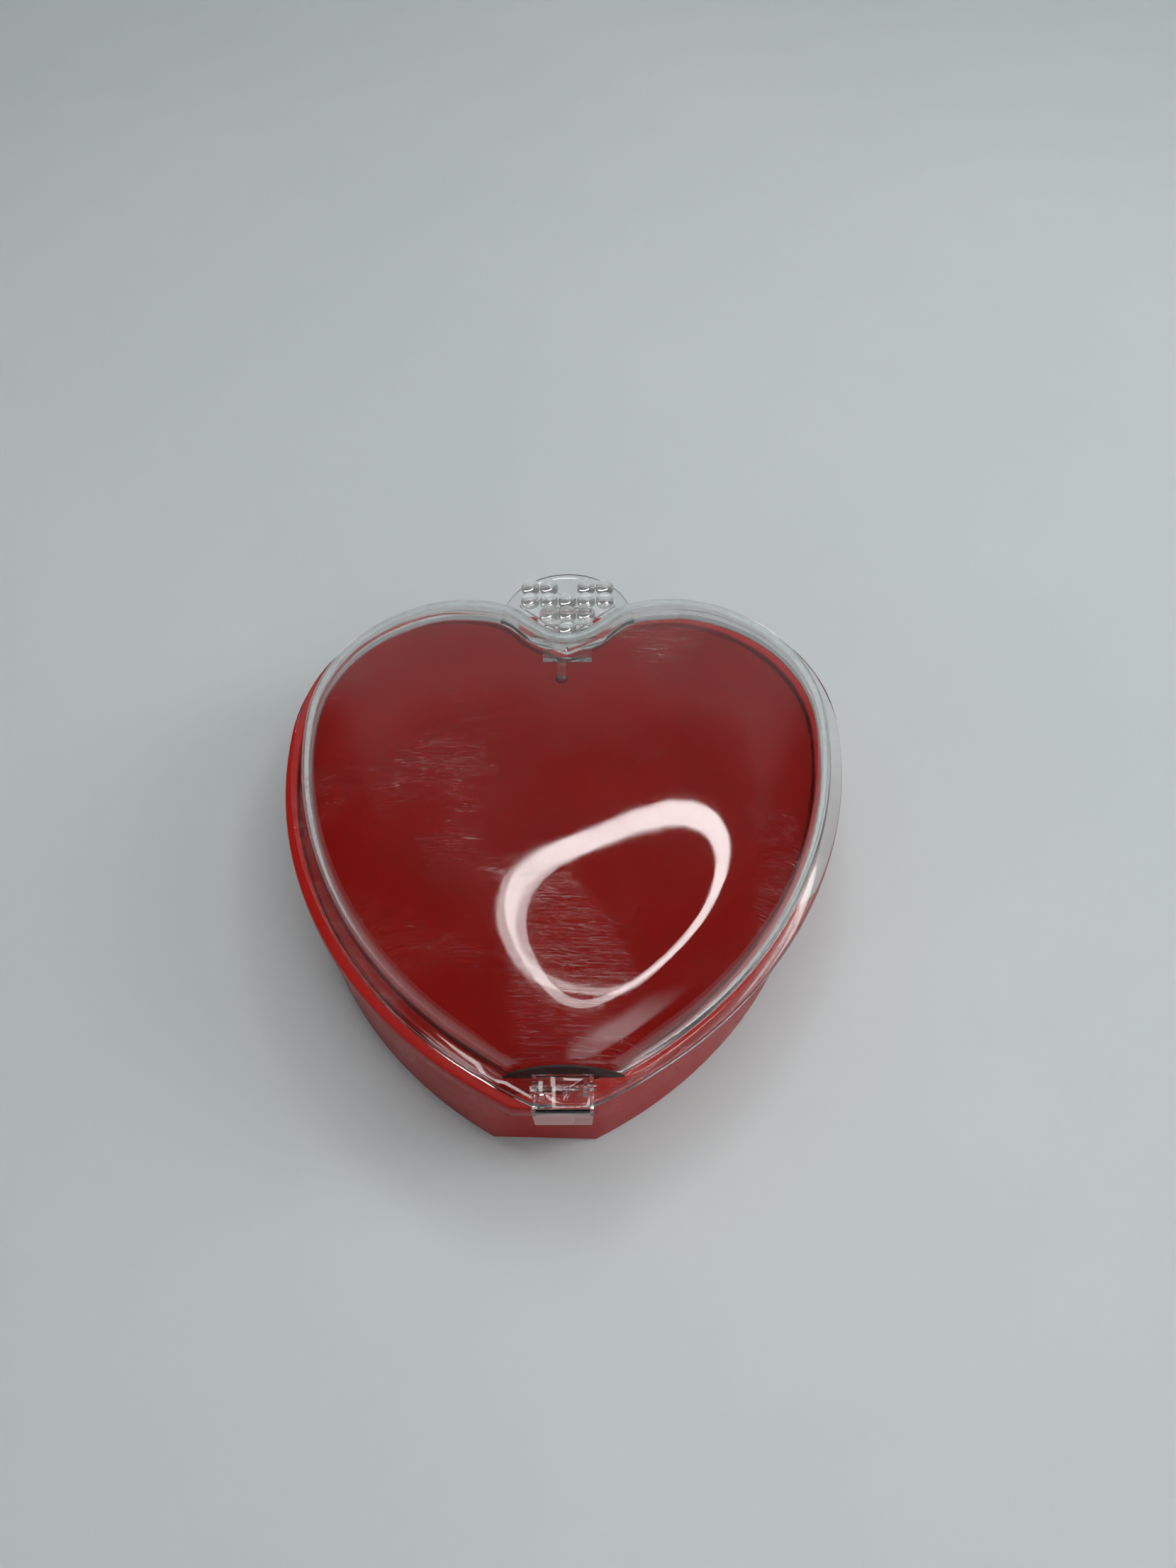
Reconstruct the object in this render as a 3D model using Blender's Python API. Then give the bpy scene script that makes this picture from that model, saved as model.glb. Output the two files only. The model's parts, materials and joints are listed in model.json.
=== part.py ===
"""Heart-shaped wind-up music box: a red moulded body, a clear domed lid that hinges at the heart's cleft,
and a comb-and-cylinder movement under a flat deck.

Metres, +Z up. X runs across the heart, the tip points to -Y and the cleft to +Y.
The origin is on the underside, on the heart's centre line.
"""

import math

import bmesh
import bpy
from mathutils import Matrix, Vector

MM = 0.001
GAP = 0.3 * MM  # between pieces that touch

# Heart outline, right half, at the edge of the body's flange
HALF_WIDTH = 44.0 * MM
WIDEST_Y = 11.2 * MM
CLEFT_Y = 30.0 * MM
LOBE_X = 19.2 * MM
LOBE_Y = 39.0 * MM
TIP_Y = -51.9 * MM
TIP_HALF_WIDTH = 3.6 * MM
CLEFT_ANGLE = math.radians(28)
FLANK_ANGLE = math.radians(24)
CLEFT_PULL = 9.1 * MM
LOBE_PULL_IN = 12.8 * MM
LOBE_PULL_OUT = 9.5 * MM
SIDE_PULL_BACK = 18.6 * MM
SIDE_PULL_FRONT = 30.6 * MM
TIP_PULL = 24.5 * MM
HEART_CENTRE_Y = -6.0 * MM

# Body
BODY_HEIGHT = 20.8 * MM
FLANGE_DEPTH = 3.0 * MM
WALL_INSET = 0.9 * MM
WALL_DRAFT = 0.3 * MM
WALL_THICKNESS = 2.0 * MM
FACET_FRONT_Y = -49.8 * MM
LEDGE_WIDTH = 1.0 * MM
DECK_SEAT_INSET = 2.0 * MM
DECK_THICKNESS = 1.6 * MM
DECK_TOP = BODY_HEIGHT - 0.6 * MM
DECK_UNDERSIDE = DECK_TOP - DECK_THICKNESS
BOTTOM_THICKNESS = 1.8 * MM

# Hinge at the cleft
HINGE_Y = 38.0 * MM
HINGE_Z = 17.0 * MM
HINGE_PIN_RADIUS = 0.7 * MM
HINGE_BORE_RADIUS = 1.0 * MM
EAR_INNER_X = 5.0 * MM
EAR_OUTER_X = 7.1 * MM
EAR_RADIUS = 2.4 * MM
EAR_ROOT_Y = 32.0 * MM
EAR_ROOT_SLOPE = 0.65
KNUCKLE_RADIUS = 2.1 * MM
KNUCKLE_HALF_WIDTH = EAR_INNER_X - 0.8 * MM

# Lid, in its own frame before the slight twist and sideways shift that its loose hinge leaves.
# Its outline is the body's, a little larger and set back.
LID_TWIST = math.radians(1.77)
LID_SHIFT = 0.54 * MM
LID_GROW = 0.43 * MM
LID_BACK = 0.4 * MM
LID_GAP = 0.3 * MM
LID_BOTTOM = BODY_HEIGHT + LID_GAP
LIP_HEIGHT = 1.3 * MM
LIP_TOP = LID_BOTTOM + LIP_HEIGHT
LIP_WIDTH = 1.9 * MM
LID_WALL = 1.1 * MM
DOME_RISE = 11.0 * MM
DOME_PLAN_POWER = 3.0
DOME_HEIGHT_POWER = 2.7
DOME_CUT_Y = -47.7 * MM
DOME_INNER_FRONT_Y = -50.2 * MM
TAB_RADIUS = 11.5 * MM
TAB_CENTRE_Y = 36.2 * MM
TAB_TOP = LID_BOTTOM + 1.2 * MM
PAD_FRONT_Y = 26.9 * MM
PAD_HALF_WIDTH = 4.2 * MM
TONGUE_FRONT_Y = 22.9 * MM
TONGUE_HALF_WIDTH = 0.8 * MM
TONGUE_X = -0.95 * MM  # over the stop pin once the lid is twisted and shifted
SEAL_THICKNESS = 0.3 * MM
SEAL_HALF_WIDTH = 8.2 * MM
SEAL_RISE = 3.8 * MM

# Bead heart on the tab: how far the beads of each row lie from the centre line, front row first
BEAD_ROWS = ((0,), (-1, 0, 1), (-2, -1, 0, 1, 2), (-2, -1, 1, 2))
BEAD_PITCH = 3.3 * MM
BEAD_RADIUS = 1.62 * MM
BEAD_FRONT_Y = 32.9 * MM
BEAD_CENTRE_Z = TAB_TOP + GAP + 0.8 * MM

# Latch over the heart's tip: an inverted channel that turns on a pin through two lugs on the lid
LATCH_HALF_WIDTH = 4.05 * MM
LATCH_WALL = 0.5 * MM
LATCH_WALL_INSET = 0.06 * MM
LATCH_WALL_BOTTOM = LIP_TOP + 0.4 * MM
LATCH_BACK_Y = -48.75 * MM
LATCH_FRONT_Y = -53.75 * MM
LATCH_TOP = LIP_TOP + 2.6 * MM
LATCH_PLATE = 0.5 * MM
LATCH_FOOT = 19.6 * MM
LATCH_FOOT_NARROWING = 0.93
LATCH_PIVOT_Y = -50.1 * MM
LATCH_PIVOT_Z = LIP_TOP + 1.25 * MM
LATCH_PIN_RADIUS = 0.35 * MM
LATCH_BORE_RADIUS = 0.6 * MM
LUG_BORE_RADIUS = 0.42 * MM
LUG_INNER_X = 2.7 * MM
LUG_OUTER_X = 3.25 * MM
LUG_HALF_LENGTH = 0.7 * MM
LUG_TOP = LATCH_PIVOT_Z + 0.6 * MM

# Movement under the deck
BEDPLATE_BOTTOM = 6.7 * MM
BEDPLATE_TOP = 8.0 * MM
BARREL_X = -12.0 * MM
BARREL_Y = -6.0 * MM
CYLINDER_Z = 13.2 * MM
CYLINDER_RADIUS = 3.9 * MM
CYLINDER_START_X = 1.5 * MM
CYLINDER_LENGTH = 18.0 * MM
CYLINDER_PIN_HEIGHT = 0.45 * MM
GOVERNOR_Y = -12.8 * MM
WORM_X = 25.0 * MM
WORM_Y = -17.0 * MM
KEY_POCKET_RADIUS = 11.5 * MM
KEY_POCKET_ROOF = 5.2 * MM
CENTRE_BARREL = (BARREL_X, BARREL_Y)
STOP_PIN_Y = 23.8 * MM
STOP_PIN_BOTTOM = 17.0 * MM
LEVER_PIVOT = (25.5 * MM, 9.0 * MM)
SCREW_PLACES = {
    "front": (4.0 * MM, -38.0 * MM),
    "left": (-27.0 * MM, 20.0 * MM),
    "right": (27.0 * MM, 20.0 * MM),
}
FOOT_PLACES = {
    "left": (-23.0 * MM, 9.5 * MM),
    "right": (24.5 * MM, 2.5 * MM),
    "front": (6.0 * MM, -19.5 * MM),
}

SCREW_HEAD_HEIGHT = 0.95 * MM
OUTLINE_STEPS = 8  # points in each stretch of half the outline
ROUND_STEPS = 24

RED = ("red_plastic", (0.46, 0.004, 0.002, 1), 0.22, 0.0)
CLEAR = ("clear_plastic", (0.86, 0.88, 0.87, 1), 0.06, 0.0)
BLACK = ("black_rubber", (0.012, 0.012, 0.013, 1), 0.6, 0.0)
ZINC = ("zinc", (0.52, 0.53, 0.54, 1), 0.42, 1.0)
STEEL = ("steel", (0.62, 0.62, 0.6, 1), 0.25, 1.0)
BRASS = ("brass", (0.78, 0.56, 0.22, 1), 0.3, 1.0)


# ---------------------------------------------------------------- helpers

def material(finish):
    name, colour, roughness, metallic = finish
    found = bpy.data.materials.get(name)
    if found:
        return found
    made = bpy.data.materials.new(name)
    made.use_nodes = True
    shader = made.node_tree.nodes["Principled BSDF"]
    shader.inputs["Base Color"].default_value = colour
    shader.inputs["Roughness"].default_value = roughness
    shader.inputs["Metallic"].default_value = metallic
    if name == CLEAR[0]:
        shader.inputs["Transmission Weight"].default_value = 1.0
    made.diffuse_color = colour
    return made


def link(name, mesh, finish=None, origin=(0, 0, 0), parent=None):
    """Links a mesh whose points are in world space, with the object's own origin at the given point."""
    mesh.transform(Matrix.Translation(-Vector(origin)))
    made = bpy.data.objects.new(name, mesh)
    bpy.context.scene.collection.objects.link(made)
    made.location = origin
    if parent:
        made.parent = parent
        made.location = Vector(origin) - parent.location
    if finish:
        mesh.materials.append(material(finish))
    mesh.shade_smooth()
    mesh.set_sharp_from_angle(angle=math.radians(35))
    return made


def mesh_from(rings, closed):
    """Faces between rings of equal counts, joined end to end or capped."""
    count = len(rings[0])
    bm = bmesh.new()
    rows = [[bm.verts.new(point) for point in ring] for ring in rings]
    pairs = list(zip(rows, rows[1:]))
    if closed:
        pairs.append((rows[-1], rows[0]))
    for lower, upper in pairs:
        for i in range(count):
            j = (i + 1) % count
            bm.faces.new((lower[i], lower[j], upper[j], upper[i]))
    if not closed:
        bm.faces.new(list(reversed(rows[0])))
        bm.faces.new(rows[-1])
    bmesh.ops.recalc_face_normals(bm, faces=bm.faces)
    mesh = bpy.data.meshes.new("shape")
    bm.to_mesh(mesh)
    bm.free()
    return mesh


def circle(radius, z, centre=(0, 0), steps=ROUND_STEPS):
    turn = 2 * math.pi / steps
    return [
        Vector((centre[0] + radius * math.cos(i * turn), centre[1] + radius * math.sin(i * turn), z))
        for i in range(steps)
    ]


def turned(profile, centre=(0, 0), steps=ROUND_STEPS, closed=False):
    """A turned piece about +Z from (radius, height) pairs, capped, or closed on itself to leave a bore."""
    return mesh_from([circle(r, z, centre, steps) for r, z in profile], closed)


def along_x(mesh, y, z):
    """Turns a piece made about +Z so that it runs along +X through (y, z)."""
    mesh.transform(Matrix.Translation((0, y, z)) @ Matrix.Rotation(math.pi / 2, 4, "Y"))
    return mesh


def box_mesh(low, high):
    corners = [(low[0], low[1]), (high[0], low[1]), (high[0], high[1]), (low[0], high[1])]
    return mesh_from([[Vector((x, y, z)) for x, y in corners] for z in (low[2], high[2])], False)


def cutter(name, mesh, parent=None):
    made = link(name, mesh, parent=parent)
    made.hide_render = True
    made.display_type = "WIRE"
    return made


def boolean(target, operation, *others):
    for other in others:
        step = target.modifiers.new(f"{operation.lower()}_{other.name}", "BOOLEAN")
        step.operation = operation
        step.solver = "EXACT"
        step.object = other


def bezier(curve, t):
    s = 1 - t
    return s ** 3 * curve[0] + 3 * s * s * t * curve[1] + 3 * s * t * t * curve[2] + t ** 3 * curve[3]


def flank_end(curve, front):
    """How far along the flank curve the front cut lies."""
    low, high = 0.3, 1.0
    for _ in range(40):
        middle = (low + high) / 2
        if bezier(curve, middle).y > front:
            low = middle
        else:
            high = middle
    return high


def half_outline(front):
    """Right half of the heart from the cleft round the lobe to the cut at the front."""
    cleft = Vector((0, CLEFT_Y))
    lobe = Vector((LOBE_X, LOBE_Y))
    side = Vector((HALF_WIDTH, WIDEST_Y))
    tip = Vector((TIP_HALF_WIDTH, TIP_Y))
    rise = Vector((math.cos(CLEFT_ANGLE), math.sin(CLEFT_ANGLE)))
    flank = Vector((math.cos(FLANK_ANGLE), math.sin(FLANK_ANGLE)))
    upper = (cleft, cleft + CLEFT_PULL * rise, lobe - Vector((LOBE_PULL_IN, 0)), lobe)
    shoulder = (lobe, lobe + Vector((LOBE_PULL_OUT, 0)), side + Vector((0, SIDE_PULL_BACK)), side)
    lower = (side, side - Vector((0, SIDE_PULL_FRONT)), tip + TIP_PULL * flank, tip)
    end = flank_end(lower, front)
    points = []
    for curve, last, steps in ((upper, 1.0, OUTLINE_STEPS), (shoulder, 1.0, OUTLINE_STEPS),
                               (lower, end, OUTLINE_STEPS + 3)):
        points += [bezier(curve, last * i / steps) for i in range(steps)]
    corner = bezier(lower, end)
    return points + [corner, Vector((0, corner.y))]


def heart(grow, z, front=TIP_Y, scale=1.0):
    """The whole outline, moved outwards by grow, and scaled about the heart's centre."""
    right = half_outline(front)
    loop = right + [Vector((-p.x, p.y)) for p in reversed(right[1:-1])]
    moved = []
    for i, point in enumerate(loop):
        before = (point - loop[i - 1]).normalized()
        after = (loop[(i + 1) % len(loop)] - point).normalized()
        across = Vector((-(before.y + after.y), before.x + after.x)).normalized()
        reach = grow / max(0.5, across.dot(Vector((-before.y, before.x))))
        moved.append(point + across * reach)
    centre = Vector((0, HEART_CENTRE_Y))
    return [(centre + (p - centre) * scale).to_3d() + Vector((0, 0, z)) for p in moved]


def hearts(profile, front=TIP_Y, closed=False):
    return mesh_from([heart(grow, z, front) for grow, z in profile], closed)


def gear_ring(teeth, root, tip, z):
    """A toothed outline with four points to a tooth."""
    ring = []
    for i in range(teeth):
        for share, radius in ((0.0, root), (0.22, tip), (0.5, tip), (0.72, root)):
            angle = 2 * math.pi * (i + share) / teeth
            ring.append(Vector((radius * math.cos(angle), radius * math.sin(angle), z)))
    return ring


def gear(teeth, root, tip, bore, low, high):
    count = 4 * teeth
    return mesh_from(
        [gear_ring(teeth, root, tip, low), gear_ring(teeth, root, tip, high),
         circle(bore, high, steps=count), circle(bore, low, steps=count)],
        True,
    )


def moved(mesh, x, y):
    mesh.transform(Matrix.Translation((x, y, 0)))
    return mesh


def screw_mesh(shank):
    """A pan-head screw: its head's underside at z = 0, with the shank below it."""
    return turned([(0.45 * MM, -shank), (0.8 * MM, 0.6 * MM - shank), (0.8 * MM, 0), (1.75 * MM, 0),
                   (1.75 * MM, 0.5 * MM), (1.3 * MM, SCREW_HEAD_HEIGHT)], steps=16)


def slotted_screw(name, x, y, seat, shank, flip=False):
    mesh = screw_mesh(shank)
    if flip:
        mesh.transform(Matrix.Rotation(math.pi, 4, "X"))
    mesh.transform(Matrix.Translation((x, y, seat)))
    screw = link(name, mesh, STEEL, (x, y, seat))
    depth = 0.45 * MM
    top = seat + (-SCREW_HEAD_HEIGHT if flip else SCREW_HEAD_HEIGHT)
    slot = cutter(f"{name}_slot", box_mesh((x - 2.2 * MM, y - 0.22 * MM, top - depth),
                                           (x + 2.2 * MM, y + 0.22 * MM, top + depth)))
    boolean(screw, "DIFFERENCE", slot)
    return screw


# ---------------------------------------------------------------- body

def ear_mesh(side):
    """A rounded hinge lug whose root runs into the lobe's flank."""
    sections = []
    for x in sorted((side * EAR_INNER_X, side * EAR_OUTER_X)):
        root = EAR_ROOT_Y + (abs(x) - EAR_INNER_X) * EAR_ROOT_SLOPE
        section = [Vector((x, root, HINGE_Z - EAR_RADIUS)), Vector((x, root, HINGE_Z + EAR_RADIUS))]
        for i in range(13):
            angle = math.pi / 2 - math.pi * i / 12
            section.append(Vector((x, HINGE_Y + EAR_RADIUS * math.cos(angle),
                                   HINGE_Z + EAR_RADIUS * math.sin(angle))))
        sections.append(section)
    return mesh_from(sections, False)


def body_shell():
    """Walls with a flat facet at the front, and a flange that runs on past it to the heart's tip."""
    flange_bottom = BODY_HEIGHT - FLANGE_DEPTH
    outer = -WALL_INSET
    inner = outer - WALL_THICKNESS
    ledge = inner - LEDGE_WIDTH
    seat_z = DECK_UNDERSIDE - GAP
    profile = [
        (outer - WALL_DRAFT, 0, FACET_FRONT_Y),
        (outer, flange_bottom, FACET_FRONT_Y),
        (-0.3 * MM, flange_bottom, TIP_Y),
        (0, flange_bottom + 0.3 * MM, TIP_Y),
        (0, BODY_HEIGHT - 0.35 * MM, TIP_Y),
        (-0.35 * MM, BODY_HEIGHT, TIP_Y),
        (-DECK_SEAT_INSET, BODY_HEIGHT, TIP_Y),
        (-DECK_SEAT_INSET, seat_z, TIP_Y),
        (ledge, seat_z, FACET_FRONT_Y),
        (ledge, seat_z - 1.8 * MM, FACET_FRONT_Y),
        (inner, seat_z - 3.1 * MM, FACET_FRONT_Y),
        (inner - WALL_DRAFT, 0, FACET_FRONT_Y),
    ]
    walls = mesh_from([heart(grow, z, front) for grow, z, front in profile], True)
    body = link("body_shell", walls, RED)
    ears = [cutter(f"ear_{word}", ear_mesh(side)) for word, side in (("left", -1), ("right", 1))]
    bore = turned([(HINGE_BORE_RADIUS, -9 * MM), (HINGE_BORE_RADIUS, 9 * MM)], steps=20)
    drill = cutter("ear_bore", along_x(bore, HINGE_Y, HINGE_Z))
    boolean(body, "UNION", *ears)
    boolean(body, "DIFFERENCE", drill)
    return body


def bottom_plate():
    inner = -WALL_INSET - WALL_THICKNESS - WALL_DRAFT - GAP
    profile = [(inner, 0), (inner, BOTTOM_THICKNESS)]
    plate = link("bottom_plate", hearts(profile, FACET_FRONT_Y), RED)
    roof = KEY_POCKET_ROOF + 1.1 * MM
    pocket_wall = cutter("pocket_wall", turned([(KEY_POCKET_RADIUS + 1.2 * MM, 0.7 * MM),
                                                (KEY_POCKET_RADIUS + 0.9 * MM, roof)], CENTRE_BARREL))
    pocket = cutter("pocket", turned([(KEY_POCKET_RADIUS + 0.2 * MM, -1 * MM),
                                      (KEY_POCKET_RADIUS, KEY_POCKET_ROOF)], CENTRE_BARREL))
    arbor_hole = cutter("arbor_hole", turned([(2.0 * MM, 4 * MM), (2.0 * MM, 8 * MM)], CENTRE_BARREL, 20))
    boolean(plate, "UNION", pocket_wall)
    posts = []
    for word, (x, y) in FOOT_PLACES.items():
        post = turned([(2.6 * MM, 1 * MM), (2.3 * MM, BEDPLATE_BOTTOM - GAP)], (x, y), 20)
        posts.append(cutter(f"post_{word}", post))
    boolean(plate, "UNION", *posts)
    boolean(plate, "DIFFERENCE", pocket, arbor_hole)
    for word, (x, y) in FOOT_PLACES.items():
        hole = turned([(1.1 * MM, 2.4 * MM), (1.1 * MM, 9 * MM)], (x, y), 16)
        boolean(plate, "DIFFERENCE", cutter(f"post_hole_{word}", hole))
    for word, (x, y) in SCREW_PLACES.items():
        seat = turned([(2.1 * MM, -1 * MM), (2.1 * MM, 1.1 * MM), (1.1 * MM, 1.1 * MM), (1.1 * MM, 3 * MM)],
                      (x, y), 20)
        boolean(plate, "DIFFERENCE", cutter(f"screw_seat_{word}", seat))
    return plate


def deck_screw_posts(deck):
    """Posts under the deck that the bottom plate's screws run up into."""
    for word, (x, y) in SCREW_PLACES.items():
        centre = (x, y)
        post = turned([(2.2 * MM, BOTTOM_THICKNESS + GAP), (2.6 * MM, DECK_UNDERSIDE + 0.5 * MM)], centre, 20)
        hole = turned([(1.1 * MM, 0), (1.1 * MM, 9 * MM)], centre, 16)
        boolean(deck, "UNION", cutter(f"deck_post_{word}", post))
        boolean(deck, "DIFFERENCE", cutter(f"deck_post_hole_{word}", hole))


def deck_plate():
    edge = -DECK_SEAT_INSET - GAP
    profile = [(edge, DECK_UNDERSIDE), (edge, DECK_TOP - 0.25 * MM), (edge - 0.25 * MM, DECK_TOP)]
    deck = link("deck_plate", hearts(profile), RED)
    deck_screw_posts(deck)
    hole = turned([(1.1 * MM, 15 * MM), (1.1 * MM, 22 * MM)], (0, STOP_PIN_Y), 20)
    boolean(deck, "DIFFERENCE", cutter("stop_pin_hole", hole))
    return deck


# ---------------------------------------------------------------- lid

def dome_height(share):
    return (1 - share ** DOME_PLAN_POWER) ** (1 / DOME_HEIGHT_POWER)


def lid_heart(grow, z, front=TIP_Y, scale=1.0):
    return [point + Vector((0, LID_BACK, 0)) for point in heart(grow + LID_GROW, z, front, scale)]


def dome_rings(grow, rise, front):
    """Rings of a puffed heart: each is the outline scaled towards the centre and raised."""
    shares = (0.997, 0.98, 0.94, 0.87, 0.74, 0.54, 0.28)
    return [lid_heart(grow, LIP_TOP + rise * dome_height(share), front, share) for share in shares]


def in_lid_frame(mesh):
    """Moves a mesh made in place to the lid's own frame, whose origin is on the hinge."""
    mesh.transform(Matrix.Translation((0, -HINGE_Y, -HINGE_Z)))
    return mesh


def lid_piece(name, mesh, finish, hinge):
    made = link(name, in_lid_frame(mesh), finish)
    made.parent = hinge
    return made


def lid_cutter(name, mesh, hinge):
    made = cutter(name, in_lid_frame(mesh))
    made.parent = hinge
    return made


def lid_dome(hinge):
    outer = [lid_heart(0, LID_BOTTOM), lid_heart(0, LIP_TOP - 0.3 * MM), lid_heart(-0.3 * MM, LIP_TOP),
             lid_heart(-LIP_WIDTH, LIP_TOP)]
    outer += dome_rings(-LIP_WIDTH, DOME_RISE, TIP_Y)
    lid = lid_piece("lid_dome", mesh_from(outer, False), CLEAR, hinge)

    inside = -LIP_WIDTH - LID_WALL
    inner = [lid_heart(inside, LID_BOTTOM - 2 * MM, DOME_INNER_FRONT_Y),
             lid_heart(inside, LIP_TOP, DOME_INNER_FRONT_Y)]
    inner += dome_rings(inside, DOME_RISE - LID_WALL, DOME_INNER_FRONT_Y)
    hollow = lid_cutter("lid_hollow", mesh_from(inner, False), hinge)
    tab_profile = [(TAB_RADIUS - 0.3 * MM, LID_BOTTOM + 0.15 * MM), (TAB_RADIUS, LID_BOTTOM + 0.4 * MM),
                   (TAB_RADIUS, TAB_TOP - 0.2 * MM), (TAB_RADIUS - 0.3 * MM, TAB_TOP)]
    tab = lid_cutter("rear_tab", turned(tab_profile, (0, TAB_CENTRE_Y), 36), hinge)
    boolean(lid, "UNION", tab)
    boolean(lid, "DIFFERENCE", hollow)
    lid_knuckle(lid, hinge)
    cleft_pad(lid, hinge)
    front_cut = box_mesh((-20 * MM, -60 * MM, LIP_TOP), (20 * MM, DOME_CUT_Y, 40 * MM))
    boolean(lid, "DIFFERENCE", lid_cutter("front_cut", front_cut, hinge))
    latch_lugs(lid, hinge)
    return lid


def lid_knuckle(lid, hinge):
    """The lid's middle knuckle, between the body's two ears."""
    half = KNUCKLE_HALF_WIDTH
    bore_radius = HINGE_BORE_RADIUS + 0.1 * MM
    knuckle = along_x(turned([(KNUCKLE_RADIUS, -half), (KNUCKLE_RADIUS, half)], steps=24), HINGE_Y, HINGE_Z)
    neck = box_mesh((-half + 0.1 * MM, HINGE_Y - 1.5 * MM, HINGE_Z),
                    (half - 0.1 * MM, HINGE_Y + 1.5 * MM, LID_BOTTOM + 0.6 * MM))
    bore = along_x(turned([(bore_radius, -9 * MM), (bore_radius, 9 * MM)], steps=20), HINGE_Y, HINGE_Z)
    boolean(lid, "UNION", lid_cutter("knuckle", knuckle, hinge), lid_cutter("neck", neck, hinge))
    boolean(lid, "DIFFERENCE", lid_cutter("knuckle_bore", bore, hinge))


def cleft_pad(lid, hinge):
    """A pad in the cleft, with a narrow tongue that reaches over the stop pin."""
    pad = box_mesh((-PAD_HALF_WIDTH, PAD_FRONT_Y, LID_BOTTOM), (PAD_HALF_WIDTH, 29 * MM, LIP_TOP - 0.15 * MM))
    tongue = box_mesh((TONGUE_X - TONGUE_HALF_WIDTH, TONGUE_FRONT_Y, LID_BOTTOM + 0.05 * MM),
                      (TONGUE_X + TONGUE_HALF_WIDTH, 28 * MM, LIP_TOP - 0.5 * MM))
    boolean(lid, "UNION", lid_cutter("cleft_pad", pad, hinge), lid_cutter("pin_tongue", tongue, hinge))


def latch_lugs(lid, hinge):
    """Two lugs on the ledge hold the latch's pin."""
    drill = turned([(LUG_BORE_RADIUS, -8 * MM), (LUG_BORE_RADIUS, 8 * MM)], steps=16)
    for word, side in (("left", -1), ("right", 1)):
        low, high = sorted((side * LUG_INNER_X, side * LUG_OUTER_X))
        lug = box_mesh((low, LATCH_PIVOT_Y - LUG_HALF_LENGTH, LIP_TOP - 0.5 * MM),
                       (high, LATCH_PIVOT_Y + LUG_HALF_LENGTH, LUG_TOP))
        boolean(lid, "UNION", lid_cutter(f"lug_{word}", lug, hinge))
    boolean(lid, "DIFFERENCE", lid_cutter("lug_bore", along_x(drill, LATCH_PIVOT_Y, LATCH_PIVOT_Z), hinge))


def front_seal(hinge):
    """A D-shaped strip across the arch where the dome is cut off behind the latch."""
    base = DOME_CUT_Y - GAP
    steps = 24
    outline = []
    for i in range(steps + 1):
        share = -1 + 2 * i / steps
        outline.append((share * SEAL_HALF_WIDTH, LIP_TOP + GAP + SEAL_RISE * (1 - share * share) ** 0.8))
    rings = [[Vector((x, y, z)) for x, z in outline] for y in (base - SEAL_THICKNESS, base)]
    return lid_piece("front_seal", mesh_from(rings, False), BLACK, hinge)


def bead_cluster(hinge):
    low = TAB_TOP + GAP
    outline = [(-2.3, 8.0), (-2.55, 6.0), (-1.3, 2.4), (-0.35, -0.3), (0.35, -0.3), (1.3, 2.4), (2.55, 6.0),
               (2.3, 8.0), (2.0, 10.2), (0.8, 10.2), (0, 7.2), (-0.8, 10.2), (-2.0, 10.2)]
    ring = [(x * BEAD_PITCH, BEAD_FRONT_Y + y * MM) for x, y in outline]
    pad = mesh_from([[Vector((x, y, z)) for x, y in ring] for z in (low, low + 0.5 * MM)], False)
    cluster = lid_piece("bead_cluster", pad, CLEAR, hinge)
    for row, places in enumerate(BEAD_ROWS):
        for place in places:
            bead = bmesh.new()
            spot = Matrix.Translation((place * BEAD_PITCH, BEAD_FRONT_Y + row * BEAD_PITCH, BEAD_CENTRE_Z))
            bmesh.ops.create_icosphere(bead, subdivisions=1, radius=BEAD_RADIUS, matrix=spot)
            mesh = bpy.data.meshes.new("bead")
            bead.to_mesh(mesh)
            bead.free()
            boolean(cluster, "UNION", lid_cutter(f"bead_{row}_{place + 2}", mesh, hinge))
    floor = box_mesh((-20 * MM, 20 * MM, low - 5 * MM), (20 * MM, 60 * MM, low + 0.02 * MM))
    boolean(cluster, "DIFFERENCE", lid_cutter("bead_floor", floor, hinge))
    return cluster


def latch_section(x):
    """Section of the latch at a width: a flat top and a lip that hangs in front."""
    under = LATCH_TOP - LATCH_PLATE
    back, front, foot = LATCH_BACK_Y, LATCH_FRONT_Y, LATCH_FOOT
    inner = front + LATCH_PLATE
    points = [(back, under), (back, LATCH_TOP), (front + 0.8 * MM, LATCH_TOP),
              (front + 0.25 * MM, LATCH_TOP - 0.25 * MM), (front, LATCH_TOP - 0.8 * MM),
              (front, foot + 0.5 * MM), (front + 0.15 * MM, foot), (inner, foot), (inner, under)]
    return [Vector((x * (LATCH_FOOT_NARROWING if z < foot + 1 * MM else 1.0), y, z)) for y, z in points]


def latch_frame(mesh):
    """Moves a mesh made in place to the latch's own frame, whose origin is on its pivot."""
    mesh.transform(Matrix.Translation((0, -LATCH_PIVOT_Y, -LATCH_PIVOT_Z)))
    return mesh


def latch_cutter(name, mesh, pivot):
    made = cutter(name, latch_frame(mesh))
    made.parent = pivot
    return made


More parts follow.
